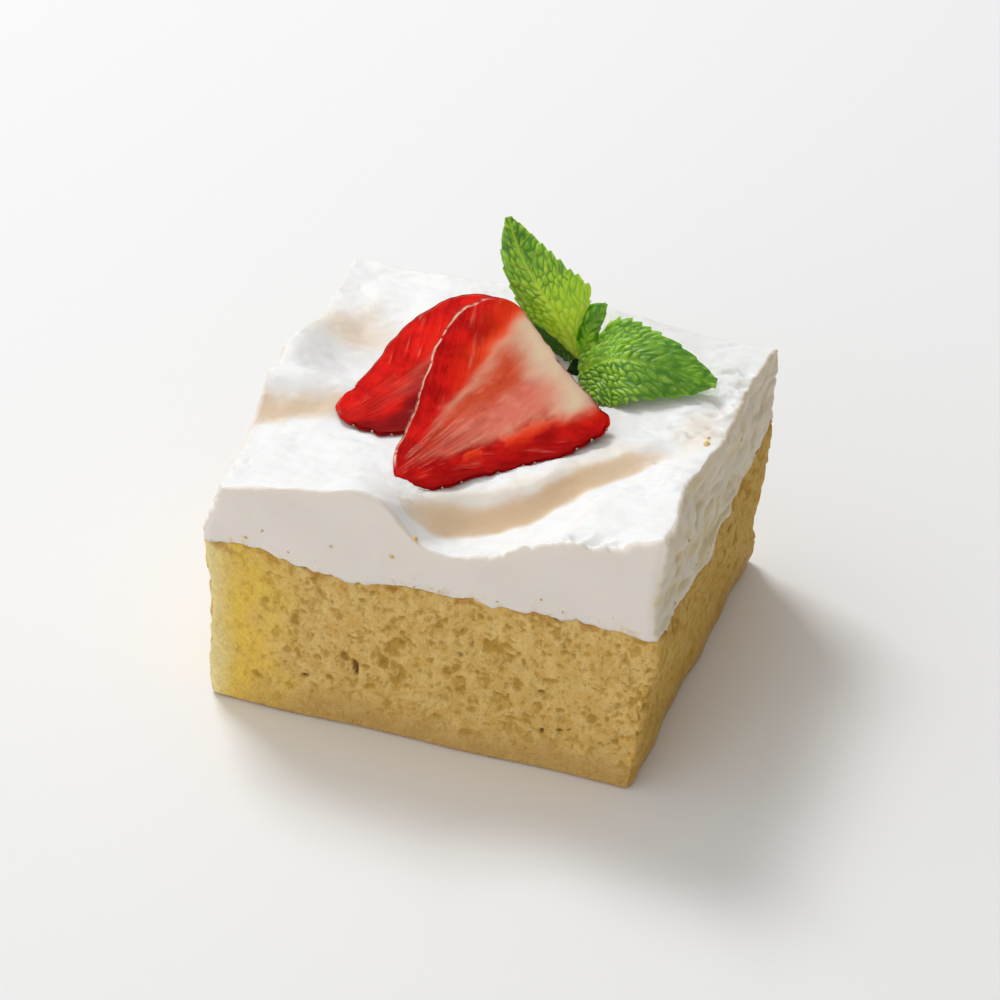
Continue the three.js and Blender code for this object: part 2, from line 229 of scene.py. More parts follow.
def light(code):
    """A colour as sRGB hex digits, turned to the linear light that shaders take."""
    shares = np.array([int(code[i:i + 2], 16) / 255 for i in (0, 2, 4)])
    linear = np.where(shares <= 0.04045, shares / 12.92, ((shares + 0.055) / 1.055) ** 2.4)
    return (*linear, 1.0)


def new_finish(name):
    """A material, its node tree and its Principled shader."""
    finish = bpy.data.materials.new(name)
    finish.use_nodes = True
    return finish, finish.node_tree, finish.node_tree.nodes["Principled BSDF"]


def feed(tree, socket, value):
    """Links a socket to a socket, or sets its own value."""
    if isinstance(value, bpy.types.NodeSocket):
        tree.links.new(value, socket)
    else:
        socket.default_value = value


def put(tree, kind, inputs, **settings):
    """A shader node of that kind with its settings made and its named or numbered inputs fed."""
    node = tree.nodes.new("ShaderNode" + kind)
    for setting, value in settings.items():
        setattr(node, setting, value)
    for key, value in inputs.items():
        feed(tree, node.inputs[key], value)
    return node


def field(tree, name):
    """The value of one of the mesh's own fields."""
    return put(tree, "Attribute", {}, attribute_name=name).outputs["Fac"]


def mixed(tree, share, first, second):
    """A colour that goes from first to second as share goes from 0 to 1."""
    return put(tree, "Mix", {0: share, 6: first, 7: second}, data_type="RGBA").outputs[2]


def product(tree, first, second):
    """Two numbers multiplied, held between 0 and 1."""
    return put(tree, "Math", {0: first, 1: second}, operation="MULTIPLY", use_clamp=True).outputs[0]


def tinted(tree, colour, mask, strength, code):
    """A colour drawn towards that of the code, by the strength where the mask is 1."""
    return mixed(tree, product(tree, mask, strength), colour, light(code))


def stretch(tree, value, low, high, new_low=0.0, new_high=1.0):
    """A value's range from low to high stretched to the new range, with a smooth ease."""
    inputs = {"Value": value, "From Min": low, "From Max": high, "To Min": new_low, "To Max": new_high}
    return put(tree, "MapRange", inputs, interpolation_type="SMOOTHSTEP").outputs[0]


def grain(tree, scale, detail=3.0, rough=0.6):
    """Noise from 0 to 1 in the piece's own space, with scale in waves per metre."""
    at = put(tree, "TexCoord", {}).outputs["Object"]
    inputs = {"Vector": at, "Scale": scale, "Detail": detail, "Roughness": rough}
    return put(tree, "TexNoise", inputs).outputs["Fac"]


def give_relief(tree, shader, height, strength, depth):
    """Bump by that strength from a height of 0 to 1, which stands for the depth in metres."""
    bump = put(tree, "Bump", {"Strength": strength, "Distance": depth, "Height": height})
    feed(tree, shader.inputs["Normal"], bump.outputs[0])


def make_pitting():
    """Shared group: small round pits in the piece's own space. Scale is in pits per metre and Share is
    how many of the cells hold one; it puts out a mask, 1 in the middle of a pit."""
    group = bpy.data.node_groups.new("Pitting", "ShaderNodeTree")
    for name, value in (("Scale", 900.0), ("Share", 0.4), ("Size", 0.35)):
        socket = group.interface.new_socket(name, in_out="INPUT", socket_type="NodeSocketFloat")
        socket.default_value = value
    group.interface.new_socket("Mask", in_out="OUTPUT", socket_type="NodeSocketFloat")
    given = group.nodes.new("NodeGroupInput").outputs
    at = put(group, "TexCoord", {}).outputs["Object"]
    wobble = put(group, "TexNoise", {"Vector": at, "Scale": given["Scale"], "Detail": 1.0})
    shifted = put(group, "VectorMath", {0: wobble.outputs["Color"], 1: (0.0004, 0.0004, 0.0004)},
                  operation="MULTIPLY")
    place = put(group, "VectorMath", {0: at, 1: shifted.outputs[0]}, operation="ADD")
    cells = put(group, "TexVoronoi", {"Vector": place.outputs[0], "Scale": given["Scale"]})
    hole = put(group, "MapRange", {"Value": cells.outputs["Distance"], "From Min": given["Size"],
                                   "From Max": 0.0}, interpolation_type="SMOOTHSTEP")
    chosen = put(group, "SeparateColor", {"Color": cells.outputs["Color"]}).outputs[0]
    kept = put(group, "Math", {0: chosen, 1: given["Share"]}, operation="LESS_THAN").outputs[0]
    mask = put(group, "Math", {0: hole.outputs[0], 1: kept}, operation="MULTIPLY").outputs[0]
    group.links.new(mask, group.nodes.new("NodeGroupOutput").inputs["Mask"])
    return group


PITTING = make_pitting()


def pits(tree, scale, share, size):
    """The mask of the shared group of small pits."""
    node = put(tree, "Group", {}, node_tree=PITTING)
    for name, value in (("Scale", scale), ("Share", share), ("Size", size)):
        feed(tree, node.inputs[name], value)
    return node.outputs["Mask"]


def holes_in_front(points, holes):
    """Depth and painted shade of placed holes in the front cut: each is an ellipse in x and z with a
    ragged rim. With d the distance over its half sizes, the depth goes with (1 - d^2)^1.2 and with the
    smaller half size, and a hole with darker painted shade is deeper."""
    ragged = 0.55 * clouds(points, 1.0, 71, 3)
    depth = np.zeros(points.shape[:-1])
    hole_shade = np.zeros(points.shape[:-1])
    for x, z, wide, high, tilt, shade in holes:
        turn = np.radians(tilt)
        dx, dz = points[..., 0] - x, points[..., 2] - z
        across = (dx * np.cos(turn) + dz * np.sin(turn)) / wide
        up = (dz * np.cos(turn) - dx * np.sin(turn)) / high
        inside = np.clip(1.15 - across**2 - up**2 + ragged, 0, 1)
        depth = np.maximum(depth, min(wide, high) * (0.55 + 0.75 * shade) * inside**1.2)
        hole_shade = np.maximum(hole_shade, shade * rising(inside, 0.1, 0.9))
    return depth, hole_shade


def make_sponge():
    """The side faces as one closed strip of rows, cut by bubbles and holes along its normals, and
    rings of vertices that shrink to the middle over the top and under the foot."""
    u, v = (round_the_rim(shares) for shares in plan_grid())
    edge = on_slice(u, v, np.full_like(u, SPONGE_HEIGHT))
    top = sponge_top(edge[:, 0], edge[:, 1])
    share = np.linspace(0, 1, SPONGE_ROWS)[:, None]
    z = share * top
    foot = FOOT_RADIUS - np.sqrt(FOOT_RADIUS**2 - np.clip(FOOT_RADIUS - z, 0, FOOT_RADIUS) ** 2)
    brim = BRIM_RADIUS - np.sqrt(BRIM_RADIUS**2 - np.clip(z - top + BRIM_RADIUS, 0, BRIM_RADIUS) ** 2)
    wall = on_slice(u[None] + 0 * z, v[None] + 0 * z, z, foot + brim)
    out = normals_of(wall)

    at_front = rising(-out[..., 1], 0.5, 0.9)
    dry = rising(z + 1.5 * cloud(wall, 5, 6), *SOAKED_FOOT)
    # Milk fills the left end and closes its crumb; its bright yellow there is also a painted glow of light
    # through that end.
    milk_and_glow = at_front * (1 - rising(wall[..., 0] + 3 * clouds(wall, 6, 5, 2), *MILK_AND_GLOW_END))
    open_crumb = (0.15 + 0.85 * dry) * (1 - 0.7 * milk_and_glow)
    warped = wall + 0.5 * np.stack([cloud(wall, 1.9, s) for s in (1, 2, 3)], -1)
    broad = 0.5 + 0.5 * clouds(wall, 9, 26, 2)
    coarse = rising(clouds(warped, 1.3, 21, 2) + 0.25 * broad, 0.38, 0.85)
    fine = rising(clouds(warped, 0.85, 24, 2) + 0.2 * broad, 0.28, 0.85)
    placed, hole_shade = holes_in_front(wall, FRONT_HOLES)
    placed, hole_shade = placed * at_front, hole_shade * at_front
    depth = open_crumb * (COARSE_DEPTH * coarse + FINE_DEPTH * fine) + PLACED_DEPTH * placed
    swell = 0.22 * clouds(wall, 6, 31, 2) + 0.16 * clouds(wall, 1.5, 33, 2) * (0.3 + 0.7 * dry)
    corner = np.abs(u * v)[None] ** 10 * (0.35 * np.clip(clouds(wall, 3, 41), 0, 1))
    dents = (np.minimum(depth, 2.0) - swell + corner) * (0.3 + 0.7 * rising(z, 0.2, 2))
    wall = wall - out * dents[..., None]
    wall[..., 2] = np.clip(wall[..., 2], 0, None)
    wall[0, :, 2] = 0
    wall[-1, :, 2] = top

    rings_up = np.linspace(0.97, 0.1, RINGS_OVER)[:, None]
    rings_down = np.linspace(0.97, 0.1, RINGS_UNDER)[:, None]
    over = on_slice(u * rings_up, v * rings_up, SPONGE_HEIGHT + 0 * rings_up * u)
    over[..., 2] = sponge_top(over[..., 0], over[..., 1]) - 0.35
    under = on_slice(u * rings_down, v * rings_down, 0 * rings_down * u)
    peak = [0, 0, sponge_top(np.zeros(1), np.zeros(1))[0] - 0.35]
    points = np.concatenate([*(part.reshape(-1, 3) for part in (wall, over, under)), [peak, [0, 0, 0]]])

    numbers = np.arange(len(points) - 2).reshape(-1, len(u))
    wall_rows, over_rows, under_rows = np.split(numbers, [SPONGE_ROWS, SPONGE_ROWS + RINGS_OVER])
    quads = np.concatenate([
        quads_between(wall_rows),
        quads_between(np.vstack([wall_rows[-1:], over_rows])),
        quads_between(np.vstack([under_rows[::-1], wall_rows[:1]])),
    ])
    triangles = np.concatenate([
        fan(over_rows[-1], len(points) - 2),
        fan(under_rows[-1][::-1], len(points) - 1),
    ])

    # Darker, more olive colour in the bubbles and holes: painted shade in these recesses.
    hole = np.maximum(0.8 * coarse, 0.6 * fine) * (0.3 + 0.7 * dry) * (1 - 0.45 * milk_and_glow)
    hole = np.maximum(hole, 0.9 * rising(placed, 0, 0.6))
    crust = rising(z - top + 1.3 * clouds(wall, 2, 43, 3), -1.6, -0.2)
    crust = crust * rising(clouds(wall, 3, 47, 2), -0.1, 0.5)
    # Painted glow of light through the far left edge.
    edge_glow = milk_and_glow * (1 - rising(wall[..., 0] + cloud(wall, 3, 45), *EDGE_GLOW_FADE))
    unseen = np.ones(len(points) - wall_rows.size)
    fields = {"hole": hole, "hole_shade": hole_shade, "milk_and_glow": milk_and_glow, "edge_glow": edge_glow,
              # The right face, tinted deeper gold in the finish as painted shade.
              "side": rising(out[..., 0], 0.4, 0.9)}
    fields = {name: np.append(values, 0 * unseen) for name, values in fields.items()}
    fields["crust"] = np.append(crust, unseen)
    # The wet foot: glossier, and darker partly as painted shade low on the slice.
    fields["soaked"] = np.append(1 - dry, unseen)
    return make_piece("sponge_crumb", points, quads, triangles, fields)


def crumb_finish():
    """Tan-yellow crumb: mottled between pale and gold, deeper and olive in its holes and small pits and
    brown where a hole is darkest, all painted shade; bright yellow where milk fills it, partly a painted
    glow of light, and paler at the far left edge as painted glow; darker when soaked, partly painted shade
    of the foot; deeper gold on the right face as painted shade; tan at the crust under the cream."""
    finish, tree, shader = new_finish("soaked_crumb")
    mottle = stretch(tree, grain(tree, 420, 4, 0.65), 0.38, 0.64)
    fine = stretch(tree, grain(tree, 1500, 3, 0.7), 0.4, 0.68)
    tiny = pits(tree, 1100.0, 0.5, 0.45)
    crumb = mixed(tree, mottle, light("F2CD7E"), light("E6B961"))
    crumb = tinted(tree, crumb, fine, 0.35, "F6DC98")
    # The soaked foot is darker: partly its wet crumb, partly painted shade low on the slice.
    crumb = tinted(tree, crumb, field(tree, "soaked"), 0.6, "CDA45C")
    # Painted shade in the small pits.
    crumb = tinted(tree, crumb, tiny, 0.6, "BC8F2E")
    # Painted shade: the right face tinted a deeper, less blue gold.
    crumb = tinted(tree, crumb, field(tree, "side"), 0.5, "D9A93C")
    patchy = stretch(tree, grain(tree, 260, 3), 0.32, 0.6, 0.55, 0.95)
    # Painted glow of light through the milk-filled left end: bright yellow.
    milk_glow = product(tree, field(tree, "milk_and_glow"), patchy)
    crumb = mixed(tree, milk_glow, crumb, light("FFD658"))
    # Painted shade in the bubbles and holes.
    crumb = tinted(tree, crumb, field(tree, "hole"), 0.8, "BC8B16")
    # Painted glow of light at the far left edge.
    crumb = tinted(tree, crumb, field(tree, "edge_glow"), 0.95, "FFEAA8")
    crumb = tinted(tree, crumb, field(tree, "crust"), 0.7, "C98C38")
    # Painted shade, brown, in the darkest placed holes.
    crumb = tinted(tree, crumb, field(tree, "hole_shade"), 0.8, "6A3212")
    feed(tree, shader.inputs["Base Color"], crumb)
    feed(tree, shader.inputs["Roughness"], stretch(tree, field(tree, "soaked"), 0, 1, 0.72, 0.42))
    shader.inputs["Specular IOR Level"].default_value = 0.3
    shader.inputs["Subsurface Weight"].default_value = 0.3
    shader.inputs["Subsurface Radius"].default_value = (1.0, 0.62, 0.22)
    shader.inputs["Subsurface Scale"].default_value = 0.0015
    height = mixed(tree, tiny, mixed(tree, 0.5, fine, mottle), (0.0, 0.0, 0.0, 1.0))
    give_relief(tree, shader, height, 0.8, 0.0004)
    return finish


sponge = make_sponge()
sponge.data.materials.append(crumb_finish())
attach(sponge, "root")
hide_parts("sponge")

# ---------------------------------------------------------------------------------------------
# Cream. Whipped cream spread over the sponge with a spatula before the slice was cut: the top
# keeps the broad hollows and ridges of the strokes. The knife left the front and back smooth and
# dragged the cream along the left and right cuts.
# ---------------------------------------------------------------------------------------------

CREAM_ROWS = 42  # up the cut faces
BRIM_ROWS = 7  # of these, the ones that turn over the top edge
CREAM_RINGS_UNDER = 7
# Height in mm of the relief on the cut faces: at the front and back, and at the left and right.
SMEAR, DRAG, LUMPS = (0.07, 0.25), (0.0, 0.34), (0.02, 0.26)
SLOW_WAVES, NICK_DEPTH = 0.22, 0.6  # on all four; a nick's depth is a share of its radius
NICK_CELL, NICK_RADII, NICK_SHARE = 5.5, (0.25, 0.6), 0.3  # the share is of the cells with a nick
CREAM_CORNERS = ((42.2, 46.8), (46.2, 46.5))  # height over the front and back corners, left and right
CREAM_CROWN = 0.6
# Rises and hollows of the top: x, y, radius in x, radius in y, rise.
CREAM_MOUNDS = [
    (38.5, -34.5, 5, 5, 3.4), (38, -14, 7, 13, 2.4), (-12, -35, 8, 9, 3.4), (-24, -36, 7, 8, 1.2),
    (29, -33, 7, 4, -0.9), (28, 36, 16, 5, -2.3), (-10, 36, 14, 8, 0.6), (-26, 14, 9, 8, -2.6),
    (-38, 4, 7, 9, 4), (36, 7, 5, 6.5, -0.3), (-29, 31, 6, 2.6, -0.8), (-35, 26, 3.5, 2.2, -0.6),
    (8, -29, 12, 10, -2.5),
]
# Places along two spatula strokes: x, y, rise, and how far it reaches behind and before the path.
LONG_SWEEP = [
    (-2, -40, -4.6, 8, 12), (0.4, -34, -4.8, 8, 13), (4.8, -29.4, -4, 6.5, 15),
    (10, -26.6, -3.5, 5.5, 15), (14.8, -23.8, -3.4, 5, 12), (18.4, -20, -3, 5, 8.5),
    (21.6, -16.4, -2.5, 5, 6), (25.4, -13, -2.1, 5, 5.5), (30.6, -7.4, -1.4, 5, 5), (36, -1, 0, 5, 5),
]
LEFT_CREST = [
    (-46, -10, 3.6, 5.5, 9), (-39, -8, 3.6, 5.5, 9), (-32, -6.2, 3.5, 5, 9), (-25, -5.2, 2.8, 5, 9),
    (-18, -5, 1.4, 5, 8), (-11, -5.4, 0, 5, 8),
]
# The painted warm shade in the sweep: x, y, strength, and how far it reaches behind and before the path.
WARM_SHADE_PATH = [
    (-5.4, -30.4, 0.3, 1.7, 1.2), (-3.6, -30.1, 0.7, 2.0, 1.5), (0.1, -28.6, 0.95, 2.7, 2.1),
    (5.3, -26.5, 1, 2.4, 2.0), (9.5, -25, 1, 2.1, 1.9), (14.1, -22.1, 1, 2.0, 1.6),
    (16.5, -19.6, 1, 2.2, 1.8), (19, -16.1, 1, 2.7, 2.2), (21.8, -13.2, 0.95, 2.6, 2.2),
    (25.2, -9.6, 0.9, 2.5, 2.1), (28.8, -6.7, 0.65, 1.6, 1.3), (32, -4, 0, 1.5, 1.0),
]


def between_corners(a, b, c, d, t):
    """Places at shares t of a smooth curve from corner b to c, with a before and d after them, and the
    slope there. Its slope at a corner is half the step between the corner's neighbours, which makes
    it half of 2b + (c - a) t + bend t^2 + twist t^3."""
    bend = 2 * a - 5 * b + 4 * c - d
    twist = 3 * b - a - 3 * c + d
    places = 0.5 * (2 * b + (c - a) * t + bend * t**2 + twist * t**3)
    return places, 0.5 * ((c - a) + 2 * bend * t + 3 * twist * t**2)


def curve_through(corners, shares):
    """Places and unit directions of an open smooth curve through the corners."""
    p = np.array(corners, float)
    p = np.vstack([2 * p[0] - p[1], p, 2 * p[-1] - p[-2]])
    pieces = len(corners) - 1
    at = np.clip(shares * pieces, 0, pieces - 1e-9)
    i = at.astype(int)
    places, slope = between_corners(p[i], p[i + 1], p[i + 2], p[i + 3], (at - i)[:, None])
    return places, unit(slope)


def beside_stroke(x, y, stroke, samples=60):
    """At each place, from the nearest one on the stroke's path: its rise, its reach on this side, how
    far away it is in mm (negative before the path), and how far along it is (0 to 1)."""
    line = curve_through(stroke, np.linspace(0, 1, samples + 1))[0]
    step = np.diff(line, axis=0)
    offset = np.stack([x, y], -1)[..., None, :] - line[:-1, :2]
    share = np.clip((offset * step[:, :2]).sum(-1) / (step[:, :2] ** 2).sum(-1), 0, 1)
    offset = offset - share[..., None] * step[:, :2]
    away = np.hypot(offset[..., 0], offset[..., 1])
    nearest = away.argmin(-1)[..., None]
    side = step[:, 0] * offset[..., 1] - step[:, 1] * offset[..., 0]
    share, away, side = [np.take_along_axis(values, nearest, -1)[..., 0] for values in (share, away, side)]
    nearest = nearest[..., 0]
    rise, behind, before = np.moveaxis(line[nearest] + share[..., None] * step[nearest], -1, 0)[2:]
    return rise, np.where(side > 0, behind, before), away * np.sign(side), (nearest + share) / samples


def cream_top(x, y):
    """Height of the cream: its four corners blended, a slight crown, mounds and two spatula strokes.
    A stroke is full on its path and eases to nothing at its reach; the sweep stays full over the
    first third of its reach before the path."""
    u, v = x / HALF_LENGTH, y / HALF_WIDTH
    (front_left, front_right), (back_left, back_right) = CREAM_CORNERS
    front = front_left + (front_right - front_left) * (u + 1) / 2
    back = back_left + (back_right - back_left) * (u + 1) / 2
    crown = CREAM_CROWN * np.maximum(0, 1 - u * u) * np.maximum(0, 1 - v * v)
    dip, reach, away, _ = beside_stroke(x, y, LONG_SWEEP)
    sweep = dip * (1 - rising(np.abs(away), np.where(away > 0, 0, 0.35 * reach), reach))
    rise, reach, away, _ = beside_stroke(x, y, LEFT_CREST)
    crest = rise * (1 - rising(np.abs(away), 0, reach))
    return front + (back - front) * (v + 1) / 2 + crown + mounds(x, y, CREAM_MOUNDS) + sweep + crest


def painted_warm_shade(x, y):
    """How far the cream is tinted warm with painted shade (0 to 1): in a band along its path through the
    sweep that trails off behind it, on the slope before the left crest, and in the left and right hollows."""
    blur = 1.2 * clouds(flat(x, y), 5, 86, 3)
    strength, reach, away, _ = beside_stroke(x, y, WARM_SHADE_PATH)
    band = 1 - rising(np.abs(away + 0.4 * blur), np.where(away > 0, 0.3, 0.65) * reach, 1.25 * reach)
    tail = (1 - rising(away + blur, reach, 2.6 * reach)) * (away > 0)
    band = strength * np.maximum(band, 0.35 * tail)
    _, reach, away, along = beside_stroke(x, y, LEFT_CREST)
    slope = rising(-away + blur, 1, 5) * (1 - rising(-away + blur, 0.75 * reach, 1.1 * reach))
    slope = slope * (1 - rising(along, 0.5, 0.85)) * (away < 0)
    left = 0.6 * bell(x + blur, -31, 7) * bell(y - blur, 15, 6)
    right = 0.4 * bell(x + blur, 34, 3.5) * bell(y + blur, 2, 7)
    return np.clip(np.maximum(np.maximum(0.95 * band, 0.8 * slope), np.maximum(left, right)), 0, 1)


def cream_marks(x, y):
    """Finer relief of the top: soft lumps, a ragged ridge along the front lip, torn folds at that lip and
    the right edge, where a fold is 1 less the size of a cloud, and fine ridges along both strokes."""
    at = flat(x, y)
    folds = 1 - 2 * np.abs(clouds(at * (0.8, 1.5, 1), 2.8, 57, 3))
    torn = 0.9 * bell(y, -33.5, 2.6) * rising(x, 12, 22) + 0.8 * bell(x, 35, 5) * rising(y, -30, -12)
    torn = torn + 0.5 * bell(x, -4.5, 3) * bell(y, -29, 5) + 0.5 * bell(x, 26, 7) * bell(y, 2, 6)
    torn = torn * rising(clouds(at, 6, 53, 2), -0.5, 0.4)
    ragged = 0.5 + 0.8 * clouds(at * (1, 0.5, 1), 1.6, 59, 3)
    ridge = rising(-y, 32.4, 33.7) * rising(x, 2, 12) * (1 - rising(x, 33, 36))
    lumps = 0.3 * clouds(at, 9, 51, 2) + 0.16 * clouds(at * (1, 1.8, 1), 3, 55, 3)
    marks = 0.7 * ridge * ragged + lumps + 0.7 * torn * folds
    for number, stroke in enumerate((LONG_SWEEP, LEFT_CREST)):
        away, along = beside_stroke(x, y, stroke)[2:]
        comb = np.stack([away, along * 25, 0 * x], -1)
        reach = bell(away, 0, 7) * (1 - rising(along, 0.7, 1))
        marks = marks + 0.09 * reach * clouds(comb, (1.6, 9, 1), 61 + number, 2)
    return marks


def edge_radius(x, y):
    """How round the top edge is: from a crisp 0.35 mm to a soft 1.2 mm, changing every few millimetres,
    and a broad shoulder at the front right corner."""
    soft = 0.65 + 0.4 * clouds(flat(x, y), 5, 81, 3) - 0.35 * rising(x, 2, 12) * rising(-y, 30, 33)
    return np.clip(soft + 0.9 * bell(x, 38, 12) * bell(y, -34.5, 6), 0.3, 2)


def nicks(points):
    """Depth in mm of small round nicks that the knife pulled out: a share of a lattice's cells each hold
    one of random middle and radius r, as deep as r (1 - d^2/r^2)^1.3 at distance d from its middle."""
    rng = np.random.default_rng(99)
    cube = (LATTICE, LATTICE, LATTICE)
    middles = rng.uniform(0.1, 0.9, (*cube, 3))
    radii = rng.uniform(*NICK_RADII, cube) * (rng.uniform(0, 1, cube) < NICK_SHARE)
    base = np.floor(points / NICK_CELL).astype(int)
    depth = np.zeros(points.shape[:-1])
    for step in np.ndindex(3, 3, 3):
        at = base + step - 1
        pick = tuple(np.moveaxis(at % LATTICE, -1, 0))
        radius = radii[pick] + 1e-6
        away = np.linalg.norm((at + middles[pick]) * NICK_CELL - points, axis=-1) / radius
        depth = np.maximum(depth, radius * np.clip(1 - away**2, 0, 1) ** 1.3)
    return depth


def make_cream():
    """A gridded top joined to a strip of rows round the cut faces, whose highest rows turn over in a
    quarter circle to meet the top, and rings that shrink to the middle underneath. The left and right
    faces have smeared, dragged relief, and the front and back little. The right face is painted yellow
    as shade, most in the hollows of its relief."""
    grid_u, grid_v = plan_grid()
    radius = edge_radius(grid_u * HALF_LENGTH, grid_v * HALF_WIDTH)
    plan_x, plan_y = footprint(grid_u, grid_v, radius)
    height = cream_top(plan_x, plan_y) + cream_marks(plan_x, plan_y)
    sheet = on_slice(grid_u, grid_v, height, radius)

    u, v, brim, turn = (round_the_rim(grid) for grid in (grid_u, grid_v, height, radius))
    edge = on_slice(u, v, np.full_like(u, SPONGE_HEIGHT))
    joint = sponge_top(edge[:, 0], edge[:, 1])
    straight = np.linspace(0, 1, CREAM_ROWS - BRIM_ROWS)[:, None]
    angle = np.linspace(0, np.pi / 2, BRIM_ROWS + 1)[1:-1, None]
    z = np.concatenate([joint + straight * (brim - turn - joint), brim - turn + turn * np.sin(angle)])
    inset = np.concatenate([0 * straight * turn, turn * (1 - np.cos(angle))])
    wide_u, wide_v = u[None] + 0 * z, v[None] + 0 * z
    wall = on_slice(wide_u, wide_v, z, inset)
    out = normals_of(wall)

    on_side = rising(np.abs(out[..., 0]), 0.4, 0.9)
    slant = wall + (0, 0, 0.05) * wall[..., 1:2]
    smear = clouds(slant * (0.16, 0.16, 1), 1.5, 91, 3)
    wavy = slant * (0.3, 0.3, 1) + 0.6 * cloud(wall, 6, 97)[..., None]
    drag = 1 - 2 * np.abs(clouds(wavy, 1.8, 94, 3))
    lumps = 1 - 2 * np.abs(clouds(slant * (0.5, 0.5, 1), 3.4, 96, 2))
    relief = SLOW_WAVES * clouds(wall, 8, 98, 3) - NICK_DEPTH * nicks(wall)
    for (at_front, at_side), marks in ((SMEAR, smear), (DRAG, drag), (LUMPS, lumps)):
        relief = relief + (at_front + (at_side - at_front) * on_side) * marks
    # Painted shade on the right face: some everywhere, more in the hollows of its relief.
    right_hollow_shade = 0.35 + 0.65 * rising(-0.8 * drag - lumps + 0.8 * smear, -1.1, 0.9)
    away_from_brim = rising(brim - z, 0, 1.5)
    relief = relief * (0.25 + 0.75 * away_from_brim)
    wall = wall + out * relief[..., None]

    rings = np.linspace(0.985, 0.1, CREAM_RINGS_UNDER)[:, None]
    under = on_slice(u * rings, v * rings, SPONGE_HEIGHT + 0 * rings * u)
    under[..., 2] = sponge_top(under[..., 0], under[..., 1]) - 0.1
    low_middle = [0, 0, sponge_top(np.zeros(1), np.zeros(1))[0] - 0.1]
    points = np.concatenate([*(part.reshape(-1, 3) for part in (sheet, wall, under)), [low_middle]])
    top_index = np.arange(sheet[..., 0].size).reshape(height.shape)
    wall_index = top_index.size + np.arange(z.size).reshape(z.shape)
    under_index = top_index.size + z.size + np.arange(rings.size * len(u)).reshape(-1, len(u))
    quads = np.concatenate([
        quads_between(top_index, closed=False),
        quads_between(np.vstack([wall_index, round_the_rim(top_index)])),
        quads_between(np.vstack([under_index[::-1], wall_index[:1]])),
    ])
    triangles = fan(under_index[-1][::-1], len(points) - 1)

    # Painted warm shade on the top, carried onto the cut faces just under the brim.
    shade_on_top = painted_warm_shade(plan_x, plan_y)
    shade_on_brim = round_the_rim(shade_on_top) * (1 - away_from_brim)
    # Painted shade on the right face, taken by the finish's side colour.
    right_face_shade = on_side * rising(wall[..., 0], -5, 5) * right_hollow_shade
    near_crumb = 1 - rising(z - joint, 0, 2.5)
    unseen = np.ones(len(points) - top_index.size - z.size)
    fields = {}
    # The first two fields are painted shade, warm on the top and greyer on the cut faces; the third is
    # painted shade on the right face.
    for name, on_top, on_wall, below in (
        ("warm_shade", shade_on_top, shade_on_brim, 0), ("cut_face_shade", 0, 1, 1),
        ("side", 0, right_face_shade, 0), ("near_crumb", 0, near_crumb, 1),
    ):
        parts = (on_top + 0 * height, on_wall + 0 * z, below * unseen)
        fields[name] = np.concatenate([part.ravel() for part in parts])
    return make_piece("whipped_cream", points, quads, triangles, fields), sheet, wall


def cream_finish():
    """Off-white cream, beige with painted warm shade in the sweep, the hollows and on the slope before the
    left crest, greyer on the cut faces as painted shade, yellow on the right face and most in its hollows
    as painted shade, with traces of crumb near the sponge."""
    finish, tree, shader = new_finish("whipped_cream")
    soft = stretch(tree, grain(tree, 140, 3), 0.35, 0.7)
    fine = grain(tree, 2600, 3, 0.6)
    cream = mixed(tree, soft, light("FDFDFC"), light("FAF9F7"))
    # Painted warm shade in the sweep, the hollows and on the slope before the left crest.
    cream = tinted(tree, cream, field(tree, "warm_shade"), 0.9, "E7C598")
    # Painted shade: every cut face greyer and warmer.
    cream = tinted(tree, cream, field(tree, "cut_face_shade"), 0.8, "EFE5DB")
    # Painted shade on the right face: yellow, most in its hollows.
    cream = mixed(tree, field(tree, "side"), cream, light("E3D1A2"))
    traces = stretch(tree, grain(tree, 420, 4, 0.7), 0.52, 0.7)
    traces = product(tree, traces, field(tree, "near_crumb"))
    cream = tinted(tree, cream, traces, 0.6, "DDBB78")
    feed(tree, shader.inputs["Base Color"], cream)
    feed(tree, shader.inputs["Roughness"], stretch(tree, fine, 0.3, 0.7, 0.45, 0.6))
    shader.inputs["Specular IOR Level"].default_value = 0.35
    shader.inputs["Subsurface Weight"].default_value = 0.5
    shader.inputs["Subsurface Radius"].default_value = (1.0, 0.8, 0.55)
    shader.inputs["Subsurface Scale"].default_value = 0.0012
    froth = mixed(tree, pits(tree, 1500.0, 0.12, 0.35), mixed(tree, 0.4, soft, fine), (0.0, 0.0, 0.0, 1.0))
    give_relief(tree, shader, froth, 0.3, 0.0003)
    return finish


cream, cream_sheet, cream_wall = make_cream()
cream.data.materials.append(cream_finish())
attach(cream, "root")
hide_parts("cream")

# ---------------------------------------------------------------------------------------------
# Loose crumbs. Bits of sponge that the knife and spatula dragged onto the cream: a few on the cut
# faces, most of them just above the sponge, and a larger one in the hollow near the right edge.
# ---------------------------------------------------------------------------------------------

# Larger crumbs: x, y, z and radius.
PLACED_CRUMBS = [
    (-28.2, -34.5, 35.8, 0.32), (-31.2, -34.5, 33.4, 0.28), (-16.3, -34.5, 35.8, 0.25),
    (-6, -34.5, 35.8, 0.5), (-1.8, -34.5, 40.8, 0.45), (19.2, -34.5, 33.9, 0.28),
    (36, -1.6, 48, 0.75), (36, 0.4, 48, 0.35), (38.2, -20, 41, 0.3), (38.2, 12, 40, 0.4),
]
SMALL_CRUMBS = 45
SMALL_CRUMB_RADII = (0.1, 0.24)


